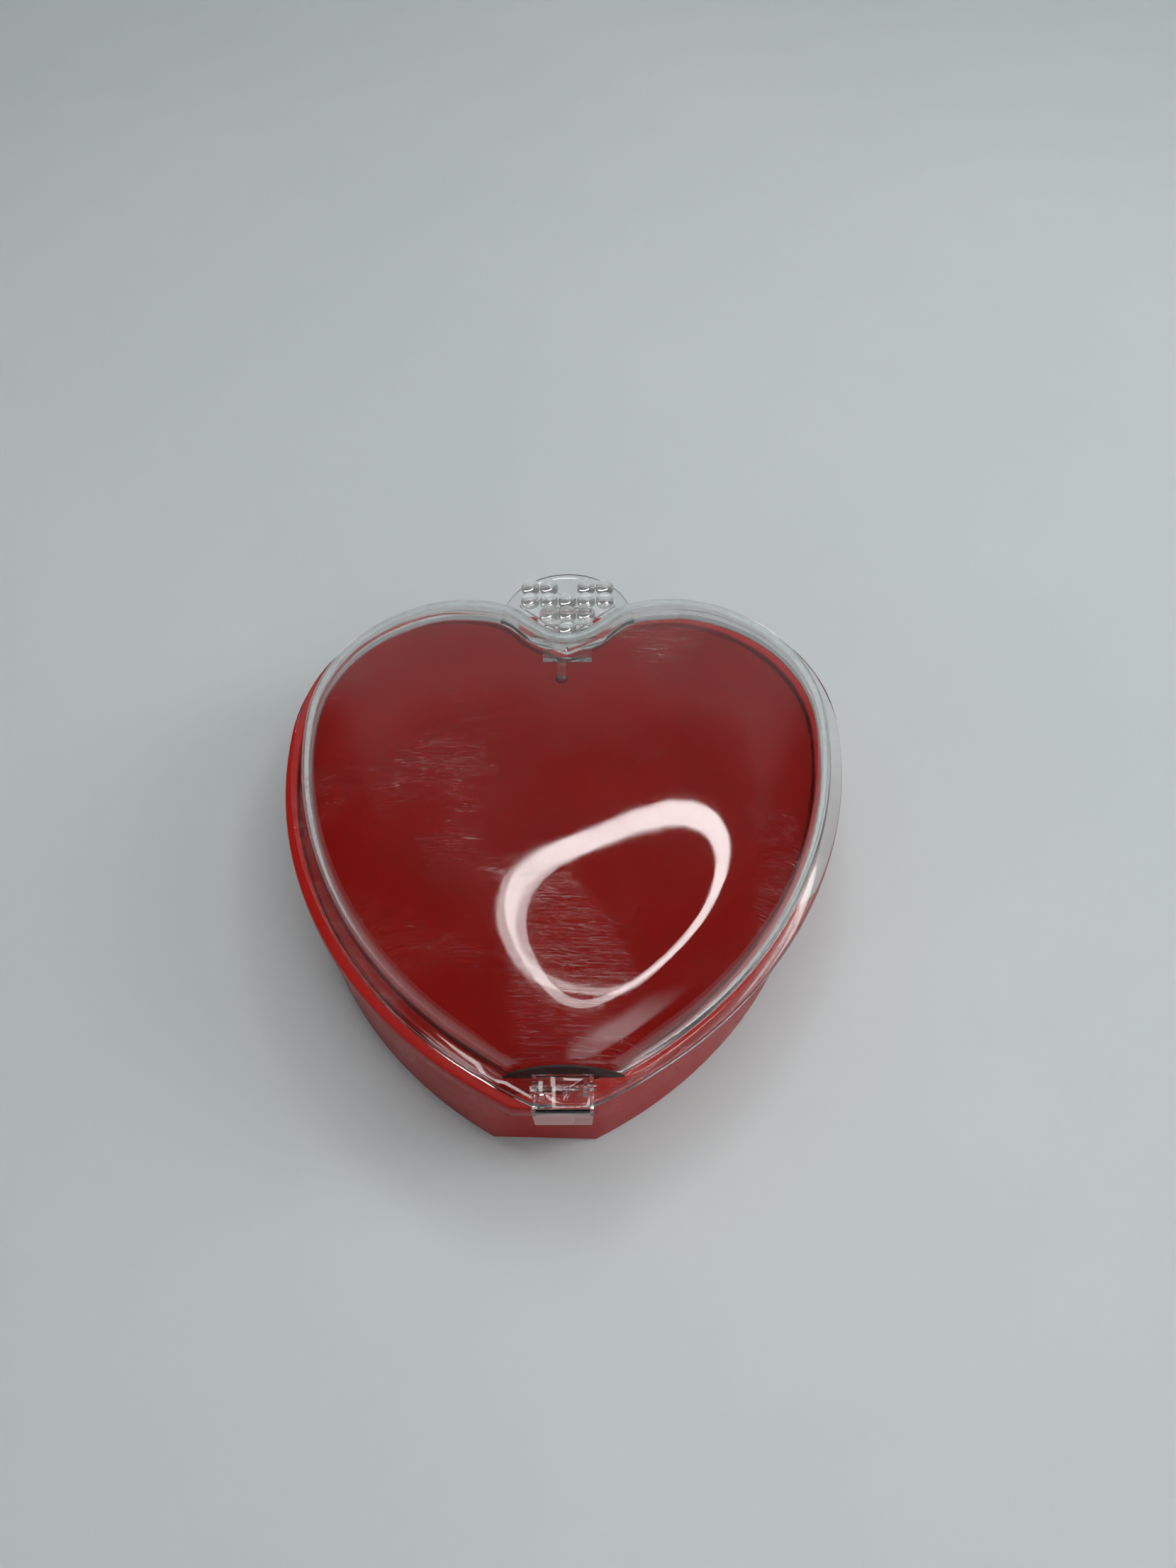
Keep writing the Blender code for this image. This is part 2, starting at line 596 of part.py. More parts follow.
def latch_clasp(pivot):
    plate = mesh_from([latch_section(x) for x in (-LATCH_HALF_WIDTH, 0, LATCH_HALF_WIDTH)], False)
    clasp = link("latch_clasp", latch_frame(plate), CLEAR)
    clasp.parent = pivot
    outer = LATCH_HALF_WIDTH - LATCH_WALL_INSET
    for word, side in (("left", -1), ("right", 1)):
        low, high = sorted((side * (LATCH_HALF_WIDTH - LATCH_WALL), side * outer))
        wall = box_mesh((low, LATCH_FRONT_Y + 0.3 * MM, LATCH_WALL_BOTTOM),
                        (high, LATCH_BACK_Y - 0.1 * MM, LATCH_TOP - 0.2 * MM))
        boolean(clasp, "UNION", latch_cutter(f"latch_wall_{word}", wall, pivot))
    drill = turned([(LATCH_BORE_RADIUS, -8 * MM), (LATCH_BORE_RADIUS, 8 * MM)], steps=16)
    boolean(clasp, "DIFFERENCE",
            latch_cutter("latch_bore", along_x(drill, LATCH_PIVOT_Y, LATCH_PIVOT_Z), pivot))
    return clasp


def latch_pin(hinge):
    """A clear rod through the lid's lugs and the latch's side walls, which it clears at both ends."""
    half = LATCH_HALF_WIDTH + 0.35 * MM
    pin = turned([(LATCH_PIN_RADIUS, -half), (LATCH_PIN_RADIUS, half)], steps=16)
    return lid_piece("latch_pin", along_x(pin, LATCH_PIVOT_Y, LATCH_PIVOT_Z), CLEAR, hinge)


def hinge_pin():
    half = EAR_OUTER_X + 0.3 * MM
    r = HINGE_PIN_RADIUS
    pin = turned([(r - 0.2 * MM, -half), (r, -half + 0.2 * MM), (r, half - 0.2 * MM), (r - 0.2 * MM, half)],
                 steps=20)
    return link("hinge_pin", along_x(pin, HINGE_Y, HINGE_Z), STEEL)


def lid_group():
    hinge = bpy.data.objects.new("lid_hinge", None)
    bpy.context.scene.collection.objects.link(hinge)
    hinge.location = (LID_SHIFT, HINGE_Y, HINGE_Z)
    hinge.rotation_euler = (0, 0, LID_TWIST)
    pivot = bpy.data.objects.new("latch_pivot", None)
    bpy.context.scene.collection.objects.link(pivot)
    pivot.parent = hinge
    pivot.location = (0, LATCH_PIVOT_Y - HINGE_Y, LATCH_PIVOT_Z - HINGE_Z)
    lid_dome(hinge)
    front_seal(hinge)
    bead_cluster(hinge)
    latch_clasp(pivot)
    latch_pin(hinge)


# ---------------------------------------------------------------- movement

def bedplate():
    outline = [(-26, -22), (-24, -24), (27, -24), (29, -22), (29, 11.5), (27.5, 13), (-24.5, 13), (-26, 11.5)]
    mesh = mesh_from([[Vector((x * MM, y * MM, z)) for x, y in outline]
                      for z in (BEDPLATE_BOTTOM, BEDPLATE_TOP)], False)
    plate = link("movement_bedplate", mesh, ZINC)
    holes = [("arbor", BARREL_X, BARREL_Y, 2.0 * MM)]
    holes += [(word, x, y, 1.15 * MM) for word, (x, y) in FOOT_PLACES.items()]
    for word, x, y, radius in holes:
        hole = turned([(radius, 5 * MM), (radius, 10 * MM)], (x, y), 20)
        boolean(plate, "DIFFERENCE", cutter(f"bedplate_hole_{word}", hole))
    return plate


def winding_train():
    """Key, arbor, ratchet and main wheel, which turn together about one upright axis."""
    origin = (BARREL_X, BARREL_Y, 0)
    shaft = [(1.5 * MM, 1.0 * MM), (1.5 * MM, 14.8 * MM), (1.2 * MM, 15.1 * MM)]
    link("winding_arbor", turned(shaft, CENTRE_BARREL, 20), STEEL, origin)

    hub = [(3.1 * MM, 0.7 * MM), (3.1 * MM, 4.6 * MM), (1.8 * MM, 4.6 * MM), (1.8 * MM, 0.7 * MM)]
    key = link("winding_key", turned(hub, CENTRE_BARREL, 24, True), STEEL, origin)
    for word, side in (("left", -1), ("right", 1)):
        outline = [(2.6, -0.7), (5.0, -0.8), (9.4, -0.8), (10.2, -0.4), (10.2, 0.4), (9.4, 0.8), (5.0, 0.8),
                   (2.6, 0.7)]
        ring = [(BARREL_X + side * x * MM, BARREL_Y + y * MM) for x, y in outline]
        wing = mesh_from([[Vector((x, y, z * MM)) for x, y in ring] for z in (0.9, 4.3)], False)
        boolean(key, "UNION", cutter(f"key_wing_{word}", wing))

    wheel = gear(24, 9.7 * MM, 10.5 * MM, 1.8 * MM, 8.5 * MM, 9.6 * MM)
    link("main_wheel", moved(wheel, *CENTRE_BARREL), BRASS, origin)
    ratchet = gear(10, 3.5 * MM, 4.2 * MM, 1.8 * MM, 9.95 * MM, 10.7 * MM)
    link("ratchet_wheel", moved(ratchet, *CENTRE_BARREL), STEEL, origin)
    outline = [(4.6, -0.6), (5.3, -1.1), (8.2, 1.0), (8.2, 2.6), (7.0, 2.6)]
    ring = [(BARREL_X + x * MM, BARREL_Y + y * MM) for x, y in outline]
    click = mesh_from([[Vector((x, y, z * MM)) for x, y in ring] for z in (9.95, 10.7)], False)
    link("ratchet_click", click, STEEL, origin)


def spring_barrel():
    profile = [(8.0 * MM, 11.1 * MM), (8.0 * MM, 15.2 * MM), (7.7 * MM, 15.5 * MM), (1.8 * MM, 15.5 * MM),
               (1.8 * MM, 14.8 * MM), (7.3 * MM, 14.8 * MM), (7.3 * MM, 11.1 * MM)]
    link("spring_barrel", turned(profile, CENTRE_BARREL, 32, True), BRASS)


def mainspring():
    """A flat strip wound in a spiral inside the barrel."""
    turns = 4
    steps = 14 * turns
    half = 0.16 * MM
    rings = []
    for i in range(steps + 1):
        angle = 2 * math.pi * turns * i / steps
        radius = (2.4 + 4.3 * i / steps) * MM
        out = Vector((math.cos(angle), math.sin(angle), 0))
        centre = Vector((BARREL_X, BARREL_Y, 0))
        rings.append([centre + out * (radius + side * half) + Vector((0, 0, z * MM))
                      for side, z in ((-1, 11.5), (1, 11.5), (1, 14.4), (-1, 14.4))])
    link("mainspring", mesh_from(rings, False), STEEL)


def barrel_bridge():
    low, high = 15.8 * MM, 16.6 * MM
    reach = 13.6 * MM
    half = 3.0 * MM
    outline = []
    for sign in (1, -1):
        for i in range(9):
            angle = math.pi * i / 8 + (0 if sign > 0 else math.pi)
            outline.append((BARREL_X + half * math.cos(angle),
                            BARREL_Y + sign * reach + half * math.sin(angle)))
    bridge = link("barrel_bridge", mesh_from([[Vector((x, y, z)) for x, y in outline] for z in (low, high)],
                                             False), ZINC)
    for word, sign in (("rear", 1), ("front", -1)):
        place = (BARREL_X, BARREL_Y + sign * reach)
        hole = turned([(1.1 * MM, 15 * MM), (1.1 * MM, 18 * MM)], place, 16)
        boolean(bridge, "DIFFERENCE", cutter(f"bridge_hole_{word}", hole))
        pillar = [(1.9 * MM, BEDPLATE_TOP + GAP), (1.9 * MM, low - GAP), (1.1 * MM, low - GAP),
                  (1.1 * MM, BEDPLATE_TOP + GAP)]
        link(f"bridge_pillar_{word}", turned(pillar, place, 20, True), BRASS)
        slotted_screw(f"bridge_screw_{word}", *place, high + GAP, 6 * MM)


def pinned_cylinder():
    origin = (CYLINDER_START_X, BARREL_Y, CYLINDER_Z)
    end = CYLINDER_START_X + CYLINDER_LENGTH
    r = CYLINDER_RADIUS
    tube = turned([(r, CYLINDER_START_X), (r, end), (1.3 * MM, end), (1.3 * MM, CYLINDER_START_X)], steps=28,
                  closed=True)
    cylinder = link("pinned_cylinder", along_x(tube, BARREL_Y, CYLINDER_Z), BRASS, origin)
    tracks = 18
    golden = 2.399963
    for i in range(tracks * 2):
        x = CYLINDER_START_X + (0.5 + i % tracks) * CYLINDER_LENGTH / tracks
        angle = golden * i
        pin = box_mesh((-0.16 * MM, -0.16 * MM, r - 0.5 * MM),
                       (0.16 * MM, 0.16 * MM, r + CYLINDER_PIN_HEIGHT))
        pin.transform(Matrix.Translation((x, BARREL_Y, CYLINDER_Z)) @ Matrix.Rotation(angle, 4, "X"))
        boolean(cylinder, "UNION", cutter(f"tune_pin_{i}", pin))

    arbor = turned([(0.9 * MM, -3.3 * MM), (0.9 * MM, 23.6 * MM)], steps=16)
    link("cylinder_arbor", along_x(arbor, BARREL_Y, CYLINDER_Z), STEEL, origin)
    pinion = gear(10, 2.4 * MM, 3.0 * MM, 1.2 * MM, -3.2 * MM, -1.6 * MM)
    link("cylinder_pinion", along_x(pinion, BARREL_Y, CYLINDER_Z), BRASS, origin)
    wheel = gear(20, 4.0 * MM, 4.6 * MM, 1.2 * MM, 22.2 * MM, 23.2 * MM)
    link("cylinder_wheel", along_x(wheel, BARREL_Y, CYLINDER_Z), BRASS, origin)


def bracket(name, low_x, high_x, low_y, high_y, top, axes):
    """An upright plate on the bedplate, drilled where shafts run through it."""
    plate = link(name, box_mesh((low_x, low_y, BEDPLATE_TOP + GAP), (high_x, high_y, top)), ZINC)
    for i, y in enumerate(axes):
        hole = turned([(1.2 * MM, low_x - MM), (1.2 * MM, high_x + MM)], steps=16)
        boolean(plate, "DIFFERENCE", cutter(f"{name}_hole_{i}", along_x(hole, y, CYLINDER_Z)))
    return plate


def comb():
    low, high = 13.0 * MM, 13.8 * MM
    left, right = CYLINDER_START_X, CYLINDER_START_X + CYLINDER_LENGTH
    teeth = 18
    tip = BARREL_Y + CYLINDER_RADIUS + CYLINDER_PIN_HEIGHT + 0.35 * MM
    plate = link("comb", box_mesh((left, tip, low), (right, 11.5 * MM, high)), STEEL)
    pitch = (right - left) / teeth
    for i in range(1, teeth):
        x = left + i * pitch
        slot = box_mesh((x - 0.15 * MM, tip - MM, low - MM), (x + 0.15 * MM, 3.6 * MM, high + MM))
        boolean(plate, "DIFFERENCE", cutter(f"comb_slot_{i}", slot))
    block = box_mesh((left, 4.2 * MM, BEDPLATE_TOP + GAP), (right, 11.8 * MM, low - GAP))
    base = link("comb_base", block, ZINC)
    for word, x in (("left", left + 4 * MM), ("right", right - 4 * MM)):
        hole = turned([(1.1 * MM, 9.5 * MM), (1.1 * MM, 16 * MM)], (x, 8 * MM), 16)
        drill = cutter(f"comb_hole_{word}", hole)
        boolean(plate, "DIFFERENCE", drill)
        boolean(base, "DIFFERENCE", drill)
        slotted_screw(f"comb_screw_{word}", x, 8 * MM, high + GAP, 3.5 * MM)


def governor():
    origin = (24 * MM, GOVERNOR_Y, CYLINDER_Z)
    shaft = link("governor_wheel", along_x(turned([(0.6 * MM, 19.6 * MM), (0.6 * MM, 27.6 * MM)], steps=16),
                                           GOVERNOR_Y, CYLINDER_Z), BRASS, origin)
    for word, teeth, root, tip, low, high in (("pinion", 8, 1.3, 1.85, 22.2, 23.2),
                                              ("worm_wheel", 16, 2.5, 3.0, 24.5, 25.5)):
        toothed = gear(teeth, root * MM, tip * MM, 0.4 * MM, low * MM, high * MM)
        boolean(shaft, "UNION", cutter(f"governor_{word}", along_x(toothed, GOVERNOR_Y, CYLINDER_Z)))

    profile = [(0.4, 8.6), (0.4, 10.2), (0.7, 10.3), (0.9, 11.0), (0.7, 11.6), (0.9, 12.2), (0.7, 12.8),
               (0.9, 13.4), (0.7, 14.0), (0.9, 14.6), (0.4, 15.2), (0.4, 17.9)]
    worm = turned([(r * MM, z * MM) for r, z in profile], (WORM_X, WORM_Y), 16)
    fly = link("worm_fly", worm, STEEL, (WORM_X, WORM_Y, CYLINDER_Z))
    vane = box_mesh((WORM_X - 2.5 * MM, WORM_Y - 0.25 * MM, 16.55 * MM),
                    (WORM_X + 2.5 * MM, WORM_Y + 0.25 * MM, 17.8 * MM))
    boolean(fly, "UNION", cutter("fly_vane", vane))

    low, high = BEDPLATE_TOP + GAP, 16.2 * MM
    upright = box_mesh((22.4 * MM, -21.6 * MM, low), (27.8 * MM, -20.8 * MM, high))
    frame = link("governor_bracket", upright, ZINC)
    jaw = cutter("governor_jaw", box_mesh((23.6 * MM, -21.4 * MM, 15.4 * MM), (26.4 * MM, -15.9 * MM, high)))
    hole = cutter("jaw_hole", turned([(0.8 * MM, 15 * MM), (0.8 * MM, 17 * MM)], (WORM_X, WORM_Y), 16))
    boolean(frame, "UNION", jaw)
    boolean(frame, "DIFFERENCE", hole)


def stop_gear():
    """The closed lid presses the stop pin, and the lever's hook holds the fly."""
    pin = turned([(1.3 * MM, STOP_PIN_BOTTOM), (1.3 * MM, STOP_PIN_BOTTOM + 0.5 * MM),
                  (0.8 * MM, STOP_PIN_BOTTOM + 0.5 * MM), (0.8 * MM, LID_BOTTOM - 0.5 * MM),
                  (0.5 * MM, LID_BOTTOM - GAP)], (0, STOP_PIN_Y), 20)
    link("stop_pin", pin, RED, (0, STOP_PIN_Y, 0))

    x, y = LEVER_PIVOT
    post = turned([(1.7 * MM, BEDPLATE_TOP + GAP), (1.7 * MM, 15.6 * MM), (0.9 * MM, 15.6 * MM),
                   (0.9 * MM, 17.2 * MM)], LEVER_PIVOT, 20)
    link("lever_post", post, STEEL)
    outline = [(0.0, 25.0), (-1.4, 24.0), (-0.8, 22.6), (22.6, 8.6), (23.4, 6.4), (27.8, -14.0),
               (27.9, -16.2), (29.3, -16.2), (29.3, -13.8), (27.9, 6.4), (28.4, 9.6), (26.6, 11.8)]
    bar = mesh_from([[Vector((px * MM, py * MM, z * MM)) for px, py in outline] for z in (15.9, 16.6)], False)
    lever = link("stop_lever", bar, STEEL, (x, y, 0))
    hole = turned([(1.2 * MM, 15 * MM), (1.2 * MM, 18 * MM)], LEVER_PIVOT, 16)
    boolean(lever, "DIFFERENCE", cutter("lever_hole", hole))


def movement():
    bedplate()
    winding_train()
    spring_barrel()
    mainspring()
    barrel_bridge()
    pinned_cylinder()
    bracket("left_bracket", -1.2 * MM, 0, -9 * MM, -3 * MM, 16.0 * MM, (BARREL_Y,))
    bracket("right_bracket", 20.3 * MM, 21.5 * MM, -15 * MM, -3 * MM, 16.0 * MM, (BARREL_Y, GOVERNOR_Y))
    bracket("governor_side_plate", 26.2 * MM, 27.2 * MM, -15 * MM, -10.6 * MM, 15.0 * MM, (GOVERNOR_Y,))
    comb()
    governor()
    stop_gear()
    for word, (x, y) in FOOT_PLACES.items():
        slotted_screw(f"movement_screw_{word}", x, y, BEDPLATE_TOP + GAP, 5 * MM)


def main():
    for found in list(bpy.data.objects):
        bpy.data.objects.remove(found)
    body_shell()
    bottom_plate()
    deck_plate()
    for word, (x, y) in SCREW_PLACES.items():
        slotted_screw(f"bottom_screw_{word}", x, y, 1.1 * MM - GAP + 0.2 * MM, 6 * MM, flip=True)
    hinge_pin()
    lid_group()
    movement()


main()
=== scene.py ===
"""The look of the heart-shaped music box: a glossy red body under a clear, lightly worn dome.

Metres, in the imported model's own frame: +Z up, the heart's tip towards -Y.
"""

import json
import math

import bmesh
import bpy
from mathutils import Matrix, Vector


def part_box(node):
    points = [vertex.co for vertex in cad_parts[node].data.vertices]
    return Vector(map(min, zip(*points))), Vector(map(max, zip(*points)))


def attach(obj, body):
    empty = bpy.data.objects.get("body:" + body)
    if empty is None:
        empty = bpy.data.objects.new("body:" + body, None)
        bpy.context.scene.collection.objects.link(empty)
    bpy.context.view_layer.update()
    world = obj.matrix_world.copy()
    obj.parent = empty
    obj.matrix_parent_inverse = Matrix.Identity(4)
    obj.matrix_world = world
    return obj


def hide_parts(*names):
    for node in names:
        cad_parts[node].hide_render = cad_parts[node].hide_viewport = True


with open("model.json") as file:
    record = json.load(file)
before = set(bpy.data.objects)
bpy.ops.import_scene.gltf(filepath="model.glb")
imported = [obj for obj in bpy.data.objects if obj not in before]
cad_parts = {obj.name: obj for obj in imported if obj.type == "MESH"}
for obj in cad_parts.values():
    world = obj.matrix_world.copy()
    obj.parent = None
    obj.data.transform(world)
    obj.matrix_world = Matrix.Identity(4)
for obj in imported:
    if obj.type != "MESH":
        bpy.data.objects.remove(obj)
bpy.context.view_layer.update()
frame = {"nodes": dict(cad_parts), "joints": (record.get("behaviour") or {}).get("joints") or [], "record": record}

MM = 0.001
JOINTS = {joint["name"]: joint for joint in frame["joints"]}
SHELL_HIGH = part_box("body_shell")[1]
HINGE = Vector(JOINTS["lid_hinge"]["pos_m"])
LATCH_AXIS = Vector(JOINTS["latch_swing"]["axis"])
LID_TWIST = math.atan2(-LATCH_AXIS.y, -LATCH_AXIS.x)
LATCH_PIVOT = Vector(JOINTS["latch_swing"]["pos_m"])

# Heart outline, right half, at the edge of the body's flange
HALF_WIDTH = SHELL_HIGH.x
WIDEST_Y = 11.2 * MM
CLEFT_Y = 30.0 * MM
LOBE = Vector((19.2 * MM, 39.0 * MM))
TIP = Vector((3.6 * MM, -51.9 * MM))
CLEFT_ANGLE = math.radians(28)
FLANK_ANGLE = math.radians(24)
HEART_CENTRE = Vector((0, -6.0 * MM))
OUTLINE_STEPS = 30
# Lengths of the handles at the ends of the outline's curves
CLEFT_PULL = 9.1 * MM
LOBE_PULL_IN = 12.8 * MM
LOBE_PULL_OUT = 9.5 * MM
SIDE_PULL_BACK = 18.6 * MM
SIDE_PULL_FRONT = 30.6 * MM
TIP_PULL = 24.5 * MM

# Body
BODY_HEIGHT = SHELL_HIGH.z
FLANGE_BOTTOM = BODY_HEIGHT - 3.0 * MM
FACET_FRONT_Y = -49.8 * MM
WALL_OUTER = -0.9 * MM
WALL_INNER = -2.9 * MM
WALL_DRAFT = 0.3 * MM
DECK_SEAT_Z = 18.3 * MM
DECK_SEAT_EDGE = -2.0 * MM
DECK_SEAT_INNER = -3.9 * MM
EAR_INNER_X = 5.0 * MM
EAR_OUTER_X = 7.1 * MM
EAR_RADIUS = 2.4 * MM
EAR_ROOT_Y = 32.0 * MM
EAR_ROOT_SLOPE = 0.65
EAR_STEPS = 24
BORE_RADIUS = 1.0 * MM
BORE_HALF_LENGTH = 9 * MM

# Lid
GAP = 0.3 * MM
LID_BOTTOM = BODY_HEIGHT + GAP
LIP_TOP = LID_BOTTOM + 1.3 * MM
LIP_WIDTH = 1.9 * MM
LIP_EDGE = 0.3 * MM
LID_WALL = 1.1 * MM
LID_GROW = 0.43 * MM
LID_BACK = 0.4 * MM
DOME_RISE = 11.0 * MM
DOME_PLAN_POWER = 3.0
DOME_HEIGHT_POWER = 2.7
DOME_CUT_Y = -47.7 * MM
DOME_INNER_FRONT_Y = -50.2 * MM
DOME_SHARES = (0.999, 0.995, 0.985, 0.97, 0.95, 0.925, 0.895, 0.86, 0.82, 0.77, 0.71, 0.64, 0.56, 0.47, 0.38,
               0.29, 0.2, 0.12, 0.05)
DOME_EASE = 120  # smoothing passes at the crown
TAB_RADIUS = 11.5 * MM
TAB_CENTRE_Y = 36.2 * MM
TAB_TOP = LID_BOTTOM + 1.2 * MM
KNUCKLE_RADIUS = 2.1 * MM
KNUCKLE_HALF_WIDTH = EAR_INNER_X - 0.8 * MM
PAD_FRONT_Y = 26.9 * MM
PAD_BACK_Y = 29 * MM
PAD_HALF_WIDTH = 4.2 * MM
TONGUE_FRONT_Y = 22.9 * MM
TONGUE_BACK_Y = 28 * MM
TONGUE_HALF_WIDTH = 0.8 * MM
TONGUE_X = -0.95 * MM

# Beads on the rear tab: where each row's beads lie, in pitches from the centre line, front row first
BEAD_ROWS = ((0,), (-1, 0, 1), (-2, -1, 0, 1, 2), (-2, -1, 1, 2))
BEAD_PITCH = 3.3 * MM
BEAD_RADIUS = 1.62 * MM
BEAD_FRONT_Y = 32.9 * MM
BEAD_Z = TAB_TOP + GAP + 0.8 * MM
BACKING_THICKNESS = 0.5 * MM
BACKING_NOTCH = (0, BEAD_FRONT_Y + 7.2 * MM)
# Right half of the backing: across in bead pitches, and back from the front bead in millimetres
BACKING_HALF = ((0.35, -0.3), (1.3, 2.4), (2.55, 6.0), (2.3, 8.0), (2.0, 10.2), (0.8, 10.2))

# Latch: an inverted channel on a pin through two lugs
LATCH_HALF_WIDTH = 4.05 * MM
LATCH_WALL = 0.5 * MM
LATCH_WALL_INSET = 0.06 * MM
LATCH_WALL_BOTTOM = LIP_TOP + 0.4 * MM
LATCH_BACK_Y = -48.75 * MM
LATCH_FRONT_Y = -53.75 * MM
LATCH_TOP = LIP_TOP + 2.6 * MM
LATCH_PLATE = 0.5 * MM
LATCH_FOOT = 19.6 * MM
LATCH_FOOT_NARROWING = 0.93
LATCH_FOOT_HEIGHT = 1 * MM
LATCH_BEND = 0.8 * MM
LATCH_BEND_STEPS = 6
LATCH_PIVOT_Y = -50.1 * MM
LATCH_BORE_RADIUS = 0.6 * MM
LATCH_BORE_HALF_LENGTH = 8 * MM
GATE_X = 0.6 * MM
GATE_Y = -50.9 * MM
GATE_NARROWING = 0.65
LUG_BORE_RADIUS = 0.42 * MM
LUG_INNER_X = 2.7 * MM
LUG_OUTER_X = 3.25 * MM
LUG_HALF_LENGTH = 0.7 * MM
LUG_TOP = LATCH_PIVOT.z + 0.6 * MM
LID_SHIFT = LATCH_PIVOT.x - (HINGE.y - LATCH_PIVOT_Y) * math.sin(LID_TWIST)

# Table, lamps and camera
TABLE_HALF = 3
TABLE_THICKNESS = 0.01
LAMP_CENTRE = (0.11, 0.108)
LAMP_Z = 0.6
LAMP_THICKNESS = 0.01
LAMP_INNER = 0.207
LAMP_OUTER = 0.245
LAMP_GLOW = 10.0
FILL_PLACE = (0.55, 0.03, 0.36)
FILL_SIZE = 0.3
FILL_POWER = 1.0
CAMERA_PLACE = Vector((8.70, -108.71, 172.98)) * MM
CAMERA_YAW = math.radians(-1.85)
CAMERA_PITCH = math.radians(54.04)
CAMERA_ROLL = math.radians(-0.38)
CAMERA_LENS = 27.05
CAMERA_SENSOR = 36

# The room: how bright it is in each direction, and between which sines or cosines each part fades
SOFT_GLOW = 0.26
DIM_GLOW = 0.008
WALL_GLOW = 0.24
WALL_SIDES = (0.60, 0.86)
WALL_TOP = (0.64, 0.80)
UPPER_GLOW = 0.06
UPPER_SIDES = (0.3, 0.78)
UPPER_TOP = (0.82, 0.99)
STREAK_GLOW = 2.0
STREAK_SIDES = (-0.75, -0.35)
STREAK_BOTTOM = (0.48, 0.58)
STREAK_TOP = (0.80, 0.90)
STREAK_EDGE = (0.0, 0.2)


# ---------------------------------------------------------------- shapes

def mesh_from(rings, closed=False):
    """Faces between rings of equal counts, joined end to end or capped."""
    count = len(rings[0])
    bm = bmesh.new()
    rows = [[bm.verts.new(point) for point in ring] for ring in rings]
    pairs = list(zip(rows, rows[1:]))
    if closed:
        pairs.append((rows[-1], rows[0]))
    for lower, upper in pairs:
        for i in range(count):
            j = (i + 1) % count
            bm.faces.new((lower[i], lower[j], upper[j], upper[i]))
    if not closed:
        bm.faces.new(list(reversed(rows[0])))
        bm.faces.new(rows[-1])
    bmesh.ops.recalc_face_normals(bm, faces=bm.faces)
    mesh = bpy.data.meshes.new("shape")
    bm.to_mesh(mesh)
    bm.free()
    return mesh


def turned(profile, centre=(0, 0), steps=64, closed=False):
    """A turned shape from its (radius, z) profile."""
    rings = []
    for radius, z in profile:
        ring = []
        for i in range(steps):
            angle = 2 * math.pi * i / steps
            ring.append(Vector((centre[0] + radius * math.cos(angle),
                                centre[1] + radius * math.sin(angle), z)))
        rings.append(ring)
    return mesh_from(rings, closed)


def along_x(mesh, y, z):
    """Lays a shape that was turned about +Z along +X, at a height and depth."""
    mesh.transform(Matrix.Translation((0, y, z)) @ Matrix.Rotation(math.pi / 2, 4, "Y"))
    return mesh


def drill(radius, half_length, y, z):
    """A cutter for a hole along X."""
    return along_x(turned([(radius, -half_length), (radius, half_length)], steps=32), y, z)


def box_mesh(low, high):
    corners = [(low[0], low[1]), (high[0], low[1]), (high[0], high[1]), (low[0], high[1])]
    return mesh_from([[Vector((x, y, z)) for x, y in corners] for z in (low[2], high[2])])


def bezier(curve, t):
    s = 1 - t
    return s ** 3 * curve[0] + 3 * s * s * t * curve[1] + 3 * s * t * t * curve[2] + t ** 3 * curve[3]


def flank_end(curve, front):
    """How far along the flank curve the front cut lies."""
    low, high = 0.3, 1.0
    for _ in range(40):
        middle = (low + high) / 2
        if bezier(curve, middle).y > front:
            low = middle
        else:
            high = middle
    return high


def half_outline(front):
    """The right half, from the cleft to a flat cut across the front."""
    cleft = Vector((0, CLEFT_Y))
    side = Vector((HALF_WIDTH, WIDEST_Y))
    rise = Vector((math.cos(CLEFT_ANGLE), math.sin(CLEFT_ANGLE)))
    flank = Vector((math.cos(FLANK_ANGLE), math.sin(FLANK_ANGLE)))
    curves = (
        (cleft, cleft + CLEFT_PULL * rise, LOBE - Vector((LOBE_PULL_IN, 0)), LOBE),
        (LOBE, LOBE + Vector((LOBE_PULL_OUT, 0)), side + Vector((0, SIDE_PULL_BACK)), side),
        (side, side - Vector((0, SIDE_PULL_FRONT)), TIP + TIP_PULL * flank, TIP),
    )
    ends = (1.0, 1.0, flank_end(curves[2], front))
    points = []
    for curve, end in zip(curves, ends):
        points += [bezier(curve, end * i / OUTLINE_STEPS) for i in range(OUTLINE_STEPS)]
    corner = bezier(curves[2], ends[2])
    return points + [corner, Vector((corner.x / 2, corner.y)), Vector((0, corner.y))]


def heart(grow, z, front=TIP.y, scale=1.0):
    """The whole outline, moved outwards by grow, and scaled about the heart's centre."""
    right = half_outline(front)
    loop = right + [Vector((-p.x, p.y)) for p in reversed(right[1:-1])]
    ring = []
    for i, point in enumerate(loop):
        before = (point - loop[i - 1]).normalized()
        after = (loop[(i + 1) % len(loop)] - point).normalized()
        across = Vector((-(before.y + after.y), before.x + after.x)).normalized()
        reach = grow / max(0.5, across.dot(Vector((-before.y, before.x))))
        flat = HEART_CENTRE + (point + across * reach - HEART_CENTRE) * scale
        ring.append(Vector((flat.x, flat.y, z)))
    return ring


def lid_heart(grow, z, front=TIP.y, scale=1.0):
    """The lid's outline: a little larger than the body's, and further back."""
    return [point + Vector((0, LID_BACK, 0)) for point in heart(grow + LID_GROW, z, front, scale)]


def eased(ring, passes):
    """The ring with its corners drawn in, a little more with each pass."""
    for _ in range(passes):
        ring = [(ring[i - 1] + 2 * ring[i] + ring[(i + 1) % len(ring)]) / 4 for i in range(len(ring))]
    return ring


